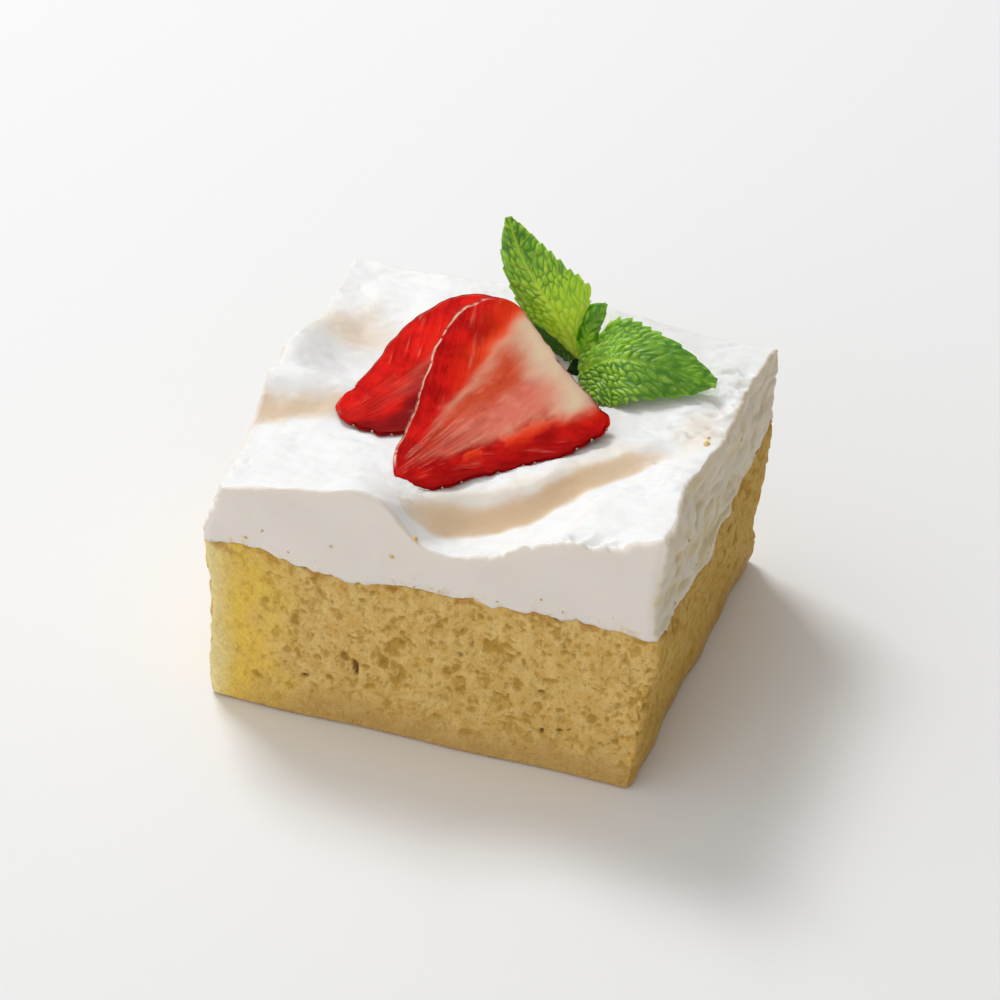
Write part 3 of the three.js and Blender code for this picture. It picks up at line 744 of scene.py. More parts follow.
def crumb_shape():
    """A lump with the 12 corners and 20 faces of an icosahedron, of radius 1."""
    long = (1 + 5**0.5) / 2
    corners = np.array([
        (-1, long, 0), (1, long, 0), (-1, -long, 0), (1, -long, 0), (0, -1, long), (0, 1, long),
        (0, -1, -long), (0, 1, -long), (long, 0, -1), (long, 0, 1), (-long, 0, -1), (-long, 0, 1),
    ])
    faces = [
        (0, 11, 5), (0, 5, 1), (0, 1, 7), (0, 7, 10), (0, 10, 11), (1, 5, 9), (5, 11, 4), (11, 10, 2),
        (10, 7, 6), (7, 1, 8), (3, 9, 4), (3, 4, 2), (3, 2, 6), (3, 6, 8), (3, 8, 9), (4, 9, 5),
        (2, 4, 11), (6, 2, 10), (8, 6, 7), (9, 8, 1),
    ]
    return corners / np.hypot(1, long), np.array(faces)


def make_crumbs(surface, wall):
    """Lumps with uneven corners, each centred on the nearest vertex of the cream to its place. The
    small ones take random vertices of the lowest rows of the cut faces."""
    rng = np.random.default_rng(35)
    corners, faces = crumb_shape()
    low_rows = wall[1:8].reshape(-1, 3)
    small = low_rows[rng.integers(0, len(low_rows), SMALL_CRUMBS)]
    centres = [surface[np.argmin(((surface - place[:3]) ** 2).sum(1))] for place in PLACED_CRUMBS]
    centres = np.concatenate([centres, small])
    radii = [place[3] for place in PLACED_CRUMBS]
    radii = np.append(radii, rng.uniform(*SMALL_CRUMB_RADII, SMALL_CRUMBS))
    count = len(centres)
    uneven = rng.uniform(0.65, 1.25, (count, len(corners), 1)) * rng.uniform(0.75, 1.25, (count, 1, 3))
    points = centres[:, None] + radii[:, None, None] * uneven * corners
    triangles = faces + len(corners) * np.arange(count)[:, None, None]
    return make_piece("loose_crumbs", points.reshape(-1, 3), (), triangles)


def loose_crumb_finish():
    """Dry yellow crumb."""
    finish, tree, shader = new_finish("loose_crumb")
    tone = stretch(tree, grain(tree, 500, 2), 0.35, 0.65)
    feed(tree, shader.inputs["Base Color"], mixed(tree, tone, light("F3D78C"), light("DDB768")))
    shader.inputs["Roughness"].default_value = 0.75
    return finish


crumbs = make_crumbs(np.concatenate([cream_sheet.reshape(-1, 3), cream_wall.reshape(-1, 3)]), cream_wall)
crumbs.data.materials.append(loose_crumb_finish())
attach(crumbs, "root")

# ---------------------------------------------------------------------------------------------
# Strawberry slices. Two lengthwise slices of ripe fruit, laid cut face up and pressed a little
# into the cream, the front one over the back one. Each cut shows the pale V of the core, fine
# fibres from it to the skin, and a cream-coloured end where the calyx was.
# ---------------------------------------------------------------------------------------------

# Each slice has these, of which the outline, arms and calyx are in its own plane, x from tip to calyx:
#   tip, heading, pitch, roll: where its tip lies, and in degrees how it is turned, raised and tilted
#   arms: the two edges of the core's V, each one's y over the tip and its slope
#   calyx: the two ends of the line where the calyx sat
#   reds, core: the flesh where dark and where bright, and the core above and below its middle
#   band, glow, shade, rays, lip: how strong the pale arms, the orange glow above and below the core,
#   the painted shade and shadow on the lower part, the core's fibres and the painted highlight along the
#   skin's edge are
#   seed: where its random draws start
STRAWBERRY_FRONT = {
    "tip": (-8.0, -25.0, 44.95), "heading": 61.6, "pitch": 13.3, "roll": 14, "thickness": 7,
    "outline": [
        (-0.3, 0.6), (2.2, 4.1), (7, 6.3), (11.5, 8.8), (15.9, 11.6), (21.1, 14.7), (26, 17.1),
        (31, 18.4), (35.5, 17.4), (38.5, 14), (37.3, 7.1), (35.7, 0.6), (34, -8.5), (32.8, -14.6),
        (28.8, -16), (21.8, -14.6), (15.5, -11.8), (9.5, -8.7), (4, -6.4), (0.3, -3.3),
    ],
    "arms": ((1.0, 0.23), (0.4, -0.29)), "calyx": ((38.4, 7.6), (32.6, -9.5)), "seed": 3,
    "reds": ("B40B0A", "E01A12"), "core": ("D45232", "E67C66"),
    "band": 0.7, "glow": (0.95, 0.75), "shade": 0.3, "rays": 0.8, "lip": 1.0,
}
STRAWBERRY_BACK = {
    "tip": (-22.6, -13.0, 45.8), "heading": 66, "pitch": 12, "roll": 5, "thickness": 7,
    "outline": [
        (0.2, 0.8), (2.6, 3.2), (7, 3.5), (12.5, 4.4), (18, 5.9), (23.5, 6.6), (28.5, 6.2),
        (33.4, 4.2), (36.8, -0.4), (34.2, -5.4), (29, -9.8), (22, -13.5), (14, -14), (7, -12),
        (2, -9), (0, -4.4),
    ],
    "arms": ((0.4, -0.16), (-2.4, -0.22)), "calyx": ((36.0, 3.0), (29.0, -11.0)), "seed": 4,
    "reds": ("CC0E0A", "F01C10"), "core": ("D03A28", "B42A24"),
    "band": 0.2, "glow": (0.3, 0.0), "shade": 0.9, "rays": 0.45, "lip": 0.15,
}
BERRY_RIM = 400  # points round the outline
BERRY_RINGS = 84  # from the middle of the cut to its edge
SEEDS_IN_ROW = 27
DIMPLE_RADIUS, DIMPLE_DEPTH = 0.85, 0.35
# The skin under the cut's edge: share of the outline, and share of the thickness below the cut.
BERRY_SKIN = [(1, 0), (1.004, 0.015), (1.003, 0.05), (0.99, 0.1), (0.965, 0.17), (0.925, 0.26),
              (0.87, 0.37), (0.8, 0.5), (0.71, 0.63), (0.59, 0.76), (0.43, 0.89), (0.22, 1)]


def placed_frame(heading, pitch, roll):
    """Axes of a slice as columns: along it, across it and out of its cut face."""
    h, p, r = np.radians([heading, -pitch, roll])
    turn = np.array([[np.cos(h), -np.sin(h), 0], [np.sin(h), np.cos(h), 0], [0, 0, 1]])
    nod = np.array([[np.cos(p), 0, np.sin(p)], [0, 1, 0], [-np.sin(p), 0, np.cos(p)]])
    lean = np.array([[1, 0, 0], [0, np.cos(r), -np.sin(r)], [0, np.sin(r), np.cos(r)]])
    return turn @ nod @ lean


def smooth_loop(corners, count):
    """A closed smooth curve through the corners, as evenly spaced points on a chain of 40 short steps
    between each two corners."""
    t = np.linspace(0, 1, 40, endpoint=False)[None, :, None]
    around = (np.roll(np.array(corners, float), shift, 0)[:, None] for shift in (1, 0, -1, -2))
    curve = between_corners(*around, t)[0].reshape(-1, 2)
    curve = np.vstack([curve, curve[:1]])
    length = np.concatenate([[0], np.cumsum(np.linalg.norm(np.diff(curve, axis=0), axis=1))])
    at = np.linspace(0, length[-1], count, endpoint=False)
    return np.stack([np.interp(at, length, curve[:, i]) for i in (0, 1)], -1)


def from_line(x, y, start, end):
    """Distance of each point from a straight line between two points."""
    ax, ay = np.array(end, float) - start
    share = np.clip(((x - start[0]) * ax + (y - start[1]) * ay) / (ax * ax + ay * ay), 0, 1)
    return np.hypot(x - start[0] - share * ax, y - start[1] - share * ay)


def seed_places(slice_):
    """Places of seeds in staggered rows round the skin: rim vertex, and row of the skin. The highest
    row is left out along the slice's upper edge, where the cut took it away."""
    rng = np.random.default_rng(slice_["seed"])
    places = []
    for row, first in ((2, 0.0), (4, 0.5), (6, 0.0)):
        share = np.arange(SEEDS_IN_ROW) + first + rng.uniform(-0.4, 0.4, SEEDS_IN_ROW)
        share = share / SEEDS_IN_ROW
        places += [(int(at * BERRY_RIM) % BERRY_RIM, row) for at in share if row > 2 or at > 0.52]
    return places


def flesh_fields(x, y, edge, depth, slice_):
    """What the cut shows at each place, from its distances above and below the two arms of the core's
    V, which wander a little. Pale bands lie on the arms and orange flesh beside them. Fibres fan out
    from the tip inside the V, give way to mottling further along, and lean back outside it. A thin
    seam runs along the V's middle, and the calyx end fades in over 8 mm."""
    on_cut = (depth < 0.01).astype(float)
    (upper, upper_slope), (lower, lower_slope) = slice_["arms"]
    high, low = upper + upper_slope * x, lower + lower_slope * x
    spine = (high + low) / 2
    at = np.stack([x, y, 0 * x], -1)
    wander = 0.9 * clouds(at, (6, 3, 2), 7 + slice_["seed"], 3)
    above, below = y - high + wander, low - y + wander
    beyond = np.maximum(above, below)
    turn = np.arctan2(y - spine, x + 9)
    fan_ray = clouds(np.stack([turn * 60, np.hypot(x + 9, y) * 0.16, 0 * x], -1), 1.1, 13, 3)
    leaning = np.stack([x - 1.2 * np.abs(y - spine), 0.35 * y, 0 * x], -1)
    lean_ray = clouds(leaning, 1.1, 16 + slice_["seed"], 3)
    near_core = 1 - rising(beyond, 0, 3)
    blotch = rising(clouds(at * (0.7, 1, 1), 2.6, 29 + slice_["seed"], 3), -0.15, 0.35)
    upper_band = bell(above, 0.2, 0.4 + 0.03 * x) * rising(x, 6, 20)
    lower_band = bell(below, -0.4, 0.6 + 0.035 * x) * rising(x, 3, 14) * (0.4 + 0.4 * blotch)
    over, under = slice_["glow"]
    halo = np.maximum(over * bell(above, 1.2, 0.9 + 0.075 * x) * rising(x, 14, 30),
                      under * bell(below, 1.2, 1.5) * blotch * rising(x, 4, 13))
    halo = np.maximum(halo, 0.45 * under * bell(below, 1.6, 2.2) * rising(x, 22, 29))
    to_calyx = from_line(x, y, *slice_["calyx"]) + 1.2 * wander
    calyx = (1 - rising(to_calyx, 0.8, 8.6)) * (1 - rising(beyond, -0.5, 3.5))
    mottle = 0.75 * clouds(at * (0.6, 1, 1), 1.3, 33 + slice_["seed"], 3) * rising(x, 6, 16)
    core_ray = slice_["rays"] * ((1 - 0.8 * rising(x, 8, 20)) * fan_ray + mottle)
    ray = near_core * core_ray + 0.5 * (1 - near_core) * lean_ray
    seam = bell(y - spine + 1.0 + 0.5 * wander, 0, 0.8) * rising(x, 6, 12) * (1 - rising(x, 27, 33))
    # The rim darkens: the flesh's own deeper red near the skin, and painted shade, most on the lower side.
    rim = rising(edge, 0.84, 1) * (0.25 + 0.75 * rising(-y + spine, 0, 3))
    return {
        "skin": 1 - on_cut,
        "inside": (1 - rising(beyond, -1.4, 1.0)) * (0.3 + 0.7 * rising(x, 5, 19)),
        "upper": rising(y - spine + wander, -0.5, 2.5),
        "band": np.maximum(upper_band, lower_band) * (1 - 0.3 * calyx),
        "halo": np.clip(halo, 0, 1),
        "calyx": calyx,
        "seam": seam * on_cut * rising(cloud(at, (1.6, 4, 4), 19), -0.6, 0.3),
        "ray": 0.5 + 0.5 * (1 - 0.7 * calyx) * np.clip(ray, -1, 1),
        # Painted highlight: a thin, beaded pale line along the skin's upper edge.
        "lip": on_cut * rising(edge, 0.965, 0.978) * rising(y - spine, 1, 3) * (1 - rising(x, 34, 37)),
        # Painted shade on the skin, darker further below the cut.
        "shade_below_cut": rising(depth, 0.1, 2.2),
        # Painted shade and shadow over the cut's lower part.
        "low": rising(below + wander, -0.5, 3) * on_cut * (1 - rising(x, 24, 31)),
        "rim": rim * (1 - 0.7 * rising(x, 26, 32)),
    }


def make_strawberry(name, slice_):
    """Rings of the outline from its middle to its edge make the cut, and rings that follow the skin's
    profile close it underneath. Seeds sit in dimples, and the cut has fine fibres in low relief."""
    axes = placed_frame(slice_["heading"], slice_["pitch"], slice_["roll"])
    outline = smooth_loop(slice_["outline"], BERRY_RIM)
    middle = outline.mean(0)
    reach = outline - middle
    rings = np.linspace(0, 1, BERRY_RINGS + 1)[1:] ** 0.9
    skin_share, skin_depth = np.array(BERRY_SKIN[1:]).T
    plan = middle + np.concatenate([rings, skin_share])[:, None, None] * reach
    depth = np.concatenate([0 * rings, skin_depth * slice_["thickness"]])[:, None] + 0 * plan[..., 0]
    edge = np.concatenate([rings, np.ones(len(skin_share))])[:, None] + 0 * plan[..., 0]
    local = np.concatenate([plan, -depth[..., None]], -1)

    fields = flesh_fields(plan[..., 0], plan[..., 1], edge, depth, slice_)
    on_cut = 1 - fields["skin"]
    grooves = 0.18 * (fields["ray"] - 0.5) * (1 - rising(edge, 0.93, 1))
    grooves = grooves + 0.2 * clouds(local, 7, 17, 2) - 0.1 * fields["seam"]
    local[..., 2] += on_cut * (grooves - 0.3 * rising(edge, 0.97, 1))

    # Seed dimples: their depth, and painted shade in them.
    sunk = 0 * depth
    for i, row in seed_places(slice_):
        home = local[BERRY_RINGS - 1 + row, i]
        sunk = np.maximum(sunk, bell(np.linalg.norm(local - home, axis=-1), 0, DIMPLE_RADIUS))
    sunk = sunk * (edge >= 0.97)
    outward = np.pad(unit(reach), ((0, 0), (0, 1)))
    scallops = 0.3 * clouds(local * (1, 1, 0.3), 2.8, 23 + slice_["seed"], 2) * rising(edge, 0.6, 1)
    local = local + outward * (scallops - DIMPLE_DEPTH * sunk)[..., None]
    fields["sunk"] = sunk

    ends = np.array([[*middle, local[0, :, 2].mean()], [*middle, -slice_["thickness"]]])
    points = np.concatenate([local.reshape(-1, 3), ends]) @ axes.T + slice_["tip"]
    numbers = np.arange(depth.size).reshape(depth.shape)
    quads = quads_between(numbers)
    triangles = np.concatenate([
        fan(numbers[0][::-1], len(points) - 2),
        fan(numbers[-1], len(points) - 1),
    ])
    fields = {key: np.append(value.ravel(), [value[0].mean(), value[-1].mean()])
              for key, value in fields.items()}
    return make_piece(name, points, quads, triangles, fields), local, outward, axes


def strawberry_finish(name, slice_):
    """Ripe flesh: deep red with brighter patches, orange beside the core, the core's own two tones
    inside it, salmon along its arms, cream at the calyx end, thin paler fibres, a dull seam, dark at
    the rim, partly its own deeper red and partly painted shade, most at the lower rim, painted shade and
    shadow over the lower part, and a beaded painted highlight along the skin's upper edge. The skin is
    wetter, and darker partly as painted shade, darkest further below the cut and in its seed dimples as
    painted shade."""
    finish, tree, shader = new_finish(name)
    patch = stretch(tree, grain(tree, 230, 3), 0.36, 0.64)
    flesh = mixed(tree, patch, light(slice_["reds"][0]), light(slice_["reds"][1]))
    # Painted shade and shadow on the lower part: on the back slice, the front slice's shadow.
    flesh = tinted(tree, flesh, field(tree, "low"), slice_["shade"], "820C10")
    flesh = tinted(tree, flesh, field(tree, "halo"), 1.0, "FA4A1E")
    core = mixed(tree, field(tree, "upper"), light(slice_["core"][1]), light(slice_["core"][0]))
    flesh = mixed(tree, field(tree, "inside"), flesh, core)
    flesh = tinted(tree, flesh, field(tree, "band"), slice_["band"], "E5A284")
    fibres = stretch(tree, field(tree, "ray"), 0.62, 0.9)
    flesh = tinted(tree, flesh, fibres, 0.3, "F0A38C")
    troughs = stretch(tree, field(tree, "ray"), 0.42, 0.15)
    flesh = tinted(tree, flesh, troughs, 0.22, "A81410")
    # Painted shade among these: the rim, most on its lower side, beside the flesh's own deeper red; the
    # skin, darker partly as painted shade; the seed dimples; and the skin lowest down.
    for mask, strength, code in (
        ("calyx", 1.0, "E5CAAA"), ("seam", 0.3, "B83840"), ("rim", 0.75, "8E0A0C"),
        ("skin", 1.0, "8E080B"), ("sunk", 0.5, "6A0508"), ("shade_below_cut", 0.7, "5E0508"),
    ):
        flesh = tinted(tree, flesh, field(tree, mask), strength, code)
    # Painted highlight: a beaded pale line along the skin's upper edge.
    highlight_beads = stretch(tree, grain(tree, 700, 2), 0.33, 0.55, 0.0, slice_["lip"])
    flesh = tinted(tree, flesh, field(tree, "lip"), highlight_beads, "F4C9B4")
    feed(tree, shader.inputs["Base Color"], flesh)
    feed(tree, shader.inputs["Roughness"], stretch(tree, field(tree, "skin"), 0, 1, 0.48, 0.3))
    feed(tree, shader.inputs["Coat Weight"], stretch(tree, field(tree, "skin"), 0, 1, 0.0, 0.3))
    shader.inputs["Coat Roughness"].default_value = 0.15
    shader.inputs["Specular IOR Level"].default_value = 0.02
    shader.inputs["Subsurface Weight"].default_value = 0.15
    shader.inputs["Subsurface Radius"].default_value = (1.0, 0.2, 0.1)
    shader.inputs["Subsurface Scale"].default_value = 0.001
    height = mixed(tree, 0.5, grain(tree, 1300, 3), field(tree, "ray"))
    give_relief(tree, shader, height, 0.35, 0.0002)
    return finish


berries = []
for node_name, slice_ in (("strawberry_front", STRAWBERRY_FRONT), ("strawberry_back", STRAWBERRY_BACK)):
    piece, local, outward, axes = make_strawberry(node_name + "_slice", slice_)
    piece.data.materials.append(strawberry_finish(node_name + "_flesh", slice_))
    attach(piece, "root")
    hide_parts(node_name)
    berries.append((slice_, local, outward, axes))

# ---------------------------------------------------------------------------------------------
# Strawberry seeds. Small flat pips, pale straw-coloured, one in each dimple of the skin.
# ---------------------------------------------------------------------------------------------

SEED_SIZE = (0.36, 0.24, 0.18)  # half length down the skin, half width, half thickness
SEED_SIDES, SEED_RINGS = 6, 4
SEED_LIFT = 0.03  # of its middle over the dimple


def seed_shape():
    """One pip: rings round a sphere, whose radius is drawn in towards the lower end."""
    angle = np.linspace(0, 2 * np.pi, SEED_SIDES, endpoint=False)
    down = np.linspace(0, np.pi, SEED_RINGS + 2)[1:-1, None]
    radius = np.sin(down) * (1 - 0.35 * np.cos(down))
    rings = np.stack(np.broadcast_arrays(np.cos(down), radius * np.cos(angle), radius * np.sin(angle)), -1)
    points = np.concatenate([rings.reshape(-1, 3), [[1, 0, 0], [-1, 0, 0]]]) * SEED_SIZE
    numbers = np.arange(SEED_RINGS * SEED_SIDES).reshape(SEED_RINGS, SEED_SIDES)
    quads = quads_between(numbers)[:, ::-1]
    triangles = np.concatenate([fan(numbers[0], len(points) - 2), fan(numbers[-1][::-1], len(points) - 1)])
    return points, quads, triangles


def make_seeds(berries):
    """A pip at each seed place, lying down the skin, all joined into one mesh."""
    shape, quads, triangles = seed_shape()
    all_points, all_quads, all_triangles = [], [], []
    for slice_, local, outward, axes in berries:
        for i, row in seed_places(slice_):
            ring = BERRY_RINGS - 1 + row
            down = unit(local[ring + 1, i] - local[ring - 1, i])
            along = unit(local[ring, (i + 1) % BERRY_RIM] - local[ring, i - 1])
            out = np.cross(down, along)
            out = out * np.sign(out @ outward[i])
            turn = np.array([down, np.cross(out, down), out])
            pip = local[ring, i] + SEED_LIFT * out + shape @ turn
            start = len(shape) * len(all_points)
            all_points.append(np.array(slice_["tip"]) + pip @ axes.T)
            all_quads.append(quads + start)
            all_triangles.append(triangles + start)
    return make_piece("strawberry_seeds", np.concatenate(all_points), np.concatenate(all_quads),
                      np.concatenate(all_triangles))


def seed_finish():
    """Straw yellow to light brown, with a satin gloss."""
    finish, tree, shader = new_finish("seed_husk")
    tone = stretch(tree, grain(tree, 300, 2), 0.35, 0.65)
    feed(tree, shader.inputs["Base Color"], mixed(tree, tone, light("DDB68C"), light("9A5A38")))
    shader.inputs["Roughness"].default_value = 0.38
    shader.inputs["Coat Weight"].default_value = 0.4
    return finish


seeds = make_seeds(berries)
seeds.data.materials.append(seed_finish())
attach(seeds, "root")

# ---------------------------------------------------------------------------------------------
# Mint. A sprig's tip pushed into the cream: a tall leaf on the left, a broad one lying to the
# right and a small folded one between them. Each blade is quilted between its veins and has a
# saw-toothed edge.
# ---------------------------------------------------------------------------------------------

LEAF_THICKNESS = 0.45
TOOTH_SPACING, VEIN_SPACING = 2.1, 3.4
QUILT_CELL = (1.7, 1.3)  # of the puffed cells, along and across
# Each leaf has these, where its first side is the one against "across":
#   midrib: the way of its middle vein from foot to tip; across: roughly its second side's direction
#   half_width, fullness: its widest half, and the powers that skew and fill its outline
#   narrow: the first side's share of the width at the foot, and the shares along where it grows to 1
#   fold, droop, tuck: how its sides rise or fall, and how far a corner at the foot is tucked under
#   puff, calm, veins, crease: how quilted it is, how far that calms towards the tip, how bright its
#   veins are, and how dark the painted shade in the creases of its first and second side is
#   sun, shade: how far light or shadow colours it; steps: its grid along and across
LEAVES = {
    "mint_leaf_left": {
        "midrib": [(9.0, 13.6, 45.2), (7.8, 14.8, 49.7), (4.4, 16.0, 54.7), (0.9, 17.3, 58.3),
                   (-3.2, 19.4, 62.8), (-6, 21.1, 68.4)],
        "across": (-0.83, 0.12, -0.54), "half_width": 8.2, "fold": -0.16, "droop": -0.2, "puff": 0.5,
        "fullness": (0.66, 0.66), "crease_shade": (0.6, 0.6), "sun": 0.95, "seed": 5, "steps": (170, 100),
        "narrow": (0.2, 0.22, 0.44), "tuck": 1.0, "shade": 0.0, "calm": 0.0, "veins": 1.0,
    },
    "mint_leaf_right": {
        "midrib": [(10.2, 11.2, 47.2), (15, 10.6, 51.2), (22, 10.8, 52.2), (33.4, 13.2, 49.4)],
        "across": (-0.12, 0.86, 0.5), "half_width": 8.7, "fold": -0.14, "droop": 0.0, "puff": 0.6,
        "fullness": (0.72, 0.62), "crease_shade": (0.8, 0.45), "sun": 0.15, "seed": 6, "steps": (170, 100),
        "narrow": (1.0, 0.0, 1.0), "tuck": 0.0, "shade": 0.0, "calm": 0.6, "veins": 0.35,
    },
    "mint_leaf_small": {
        "midrib": [(9.4, 13.8, 46.4), (9.7, 15.2, 50.1), (10.7, 16.2, 53.8), (12.7, 17.2, 57.7)],
        "across": (-0.9, 0.3, 0.1), "half_width": 5.4, "fold": -0.25, "droop": 0.0, "puff": 0.3,
        "fullness": (0.75, 0.7), "crease_shade": (0.6, 0.5), "sun": 0.1, "seed": 8, "steps": (110, 60),
        "narrow": (0.4, 1.0, 1.5), "tuck": 0.0, "shade": 0.08, "calm": 0.2, "veins": 0.5,
    },
}


def quilt(along, across, seed):
    """Puffed cells between veins: distances to the nearest and next nearest of jittered places on a
    lattice, in cells; their difference is 0 on a vein and grows towards a cell's middle."""
    jitter = np.random.default_rng(seed).uniform(-0.42, 0.42, (64, 64, 2))
    place = np.stack([along, across], -1)
    base = np.floor(place).astype(int)
    found = []
    for step in np.ndindex(3, 3):
        at = base + step - 1
        found.append(np.linalg.norm(at + 0.5 + jitter[at[..., 0] % 64, at[..., 1] % 64] - place, axis=-1))
    found = np.sort(np.stack(found), axis=0)
    return found[1] - found[0]


def make_leaf(name, leaf):
    """Both sides of a blade on one grid along and across its midrib. The width follows a skewed sine
    with saw teeth. Side veins fan out from the foot and then lean towards the tip, and the cells
    between veins puff out, more calmly near the tip of a leaf that says so."""
    steps_along, steps_across = leaf["steps"]
    s = np.linspace(0, 1, steps_along + 1)
    rib, heading = curve_through(leaf["midrib"], s)
    length = np.linalg.norm(np.diff(rib, axis=0), axis=1).sum()
    normal = unit(np.cross(heading, np.array(leaf["across"])))
    sideways = np.cross(normal, heading)
    skew, fullness = leaf["fullness"]
    blade = np.sin(np.pi * np.clip(s, 0.02, 0.985) ** skew) ** fullness
    side = np.linspace(-1, 1, steps_across + 1)
    share_along, share_side = np.meshgrid(s, side, indexing="ij")
    seed = leaf["seed"]
    size = np.abs(share_side)
    tooth = share_along * length / TOOTH_SPACING + 0.25 * np.sign(share_side)
    tooth = tooth + 0.3 * cloud(flat(share_along * length, share_side), 3, seed)
    saw = 1 - 0.1 * (1 - tooth % 1) * size**5 * rising(share_along, 0.08, 0.3)
    least, start, end = leaf["narrow"]
    trim = np.where(share_side < 0, least + (1 - least) * rising(share_along, start, end), 1)
    width = leaf["half_width"] * blade[:, None] * share_side * saw * trim
    at = flat(share_along * length, width)
    lean = share_along * length - 0.8 * np.abs(width) - 0.03 * width**2 + 0.5 * cloud(at, 2.2, seed + 1)
    outward = np.abs(width) + 0.4 * cloud(at, 2.2, seed + 2)
    cell = quilt(lean / QUILT_CELL[0], outward / QUILT_CELL[1] + 40 * (share_side > 0), seed)
    side_vein = rising(np.abs((lean / VEIN_SPACING) % 1 - 0.5) * 2, 0.82, 1) * rising(size, 0.03, 0.1)
    spread = np.arctan2(width, share_along * length + 0.01)
    from_foot = rising(np.cos(15 * spread), 0.8, 1) * rising(share_along, 0, 0.06)
    side_vein = side_vein + (from_foot - side_vein) * (1 - rising(share_along, 0.2, 0.4))
    midrib = bell(width, 0, 0.3 + 0.3 * (1 - share_along))
    calm = 1 - leaf["calm"] * rising(share_along, 0.45, 0.75)
    puff = leaf["puff"] * calm * rising(cell, 0.03, 0.7)
    puff = puff * (1 - rising(size, 0.9, 1)) * (0.7 + 0.3 * cloud(at, 4, seed))
    puff = puff * (1 - midrib) - 0.25 * leaf["puff"] * side_vein - 0.3 * midrib
    ripple = 0.6 * np.sin(share_along * 15 + 2 * share_side) * share_side**2 * (1 - 0.6 * share_along)
    droop = leaf["droop"] * np.clip(share_side, 0, 1) ** 2 * (1 - share_along) ** 2
    tuck = leaf["tuck"] * rising(share_side - 2.2 * (share_along - 0.12), -0.08, 0.12)
    tuck = tuck * (1 - rising(share_along, 0.35, 0.5))
    lift = leaf["fold"] * np.abs(width) + puff + ripple - droop - 0.6 * tuck
    base = rib[:, None] + sideways[:, None] * width[..., None]
    thick = LEAF_THICKNESS * (1 - 0.75 * rising(size, 0.8, 1))[..., None]
    front = base + normal[:, None] * (lift[..., None] + thick / 2)
    back = base + normal[:, None] * (lift[..., None] - thick / 2)
    upper = np.arange(size.size).reshape(size.shape)
    lower = upper + upper.size
    rim = round_the_rim(upper.T)
    quads = np.concatenate([
        quads_between(upper, closed=False)[:, ::-1],
        quads_between(lower, closed=False),
        quads_between(np.vstack([rim + upper.size, rim])),
    ])
    points = np.concatenate([front.reshape(-1, 3), back.reshape(-1, 3)])
    vein = np.maximum(midrib, 0.8 * side_vein * (1 - rising(size, 0.75, 1)))
    sunlit_foot = leaf["sun"] * (1 - rising(share_along, 0.3, 0.65))
    fields = {
        "vein": leaf["veins"] * (1 - 0.6 * share_along) * (1 - tuck) * vein,
        "cell": rising(cell, 0.02, 0.6),
        # Painted shade in the creases between the puffed cells.
        "crease_shade": np.where(share_side < 0, *leaf["crease_shade"]) * calm * (1 - 0.65 * sunlit_foot),
        "shade": np.maximum(0.9 * tuck, leaf["shade"] + 0.55 * (1 - calm)),
        "sun": leaf["sun"] * (1 - rising(share_along, 0.3, 0.85)) * (1 - 0.5 * size**2),
    }
    fields = {key: np.tile(value.ravel(), 2) for key, value in fields.items()}
    return make_piece(name + "_blade", points, quads, (), fields)


def leaf_finish():
    """Fresh mint green: yellow-green veins, a painted highlight on the cell tops, painted shade in the
    dark creases round the puffed cells, yellower towards a sunlit foot, thin enough for light to come
    through."""
    finish, tree, shader = new_finish("mint_green")
    tone = stretch(tree, grain(tree, 330, 3), 0.36, 0.64)
    green = mixed(tree, tone, light("5F9A16"), light("92C62A"))
    green = tinted(tree, green, field(tree, "sun"), 0.95, "DEFF3C")
    # Painted highlight: yellow-green on the puffed cell tops, in spots.
    spots = stretch(tree, grain(tree, 700, 3), 0.45, 0.65)
    glow = product(tree, stretch(tree, field(tree, "cell"), 0.5, 1.0), spots)
    green = tinted(tree, green, glow, 0.6, "CDE864")
    # Painted shade in the creases round the puffed cells.
    crease_shade_mask = stretch(tree, field(tree, "cell"), 0.0, 0.5, 1.0, 0.0)
    green = tinted(tree, green, crease_shade_mask, field(tree, "crease_shade"), "2F640F")
    green = mixed(tree, field(tree, "vein"), green, light("D8F252"))
    green = mixed(tree, field(tree, "shade"), green, light("2E6416"))
    feed(tree, shader.inputs["Base Color"], green)
    shader.inputs["Roughness"].default_value = 0.4
    shader.inputs["Subsurface Weight"].default_value = 0.6
    shader.inputs["Subsurface Radius"].default_value = (0.6, 1.0, 0.15)
    shader.inputs["Subsurface Scale"].default_value = 0.0015
    give_relief(tree, shader, grain(tree, 1700, 3), 0.3, 0.0002)
    return finish


MINT_GREEN = leaf_finish()
for node_name, leaf in LEAVES.items():
    blade = make_leaf(node_name, leaf)
    blade.data.materials.append(MINT_GREEN)
    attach(blade, "root")
    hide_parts(node_name)

# ---------------------------------------------------------------------------------------------
# Mint stem. The square, dark green end of the sprig, where the leaves meet in the cream: thick and
# near black, as painted shade of the gap among the leaf bases.
# ---------------------------------------------------------------------------------------------

STEM_FOOT, STEM_HEAD = (8.8, 12.2, 45.2), (9.2, 14.6, 48.0)
# Thick, to fill the shaded gap among the leaf bases as painted shade.
STEM_RADII = (1.5, 0.8)
STEM_RINGS, STEM_SIDES = 30, 40


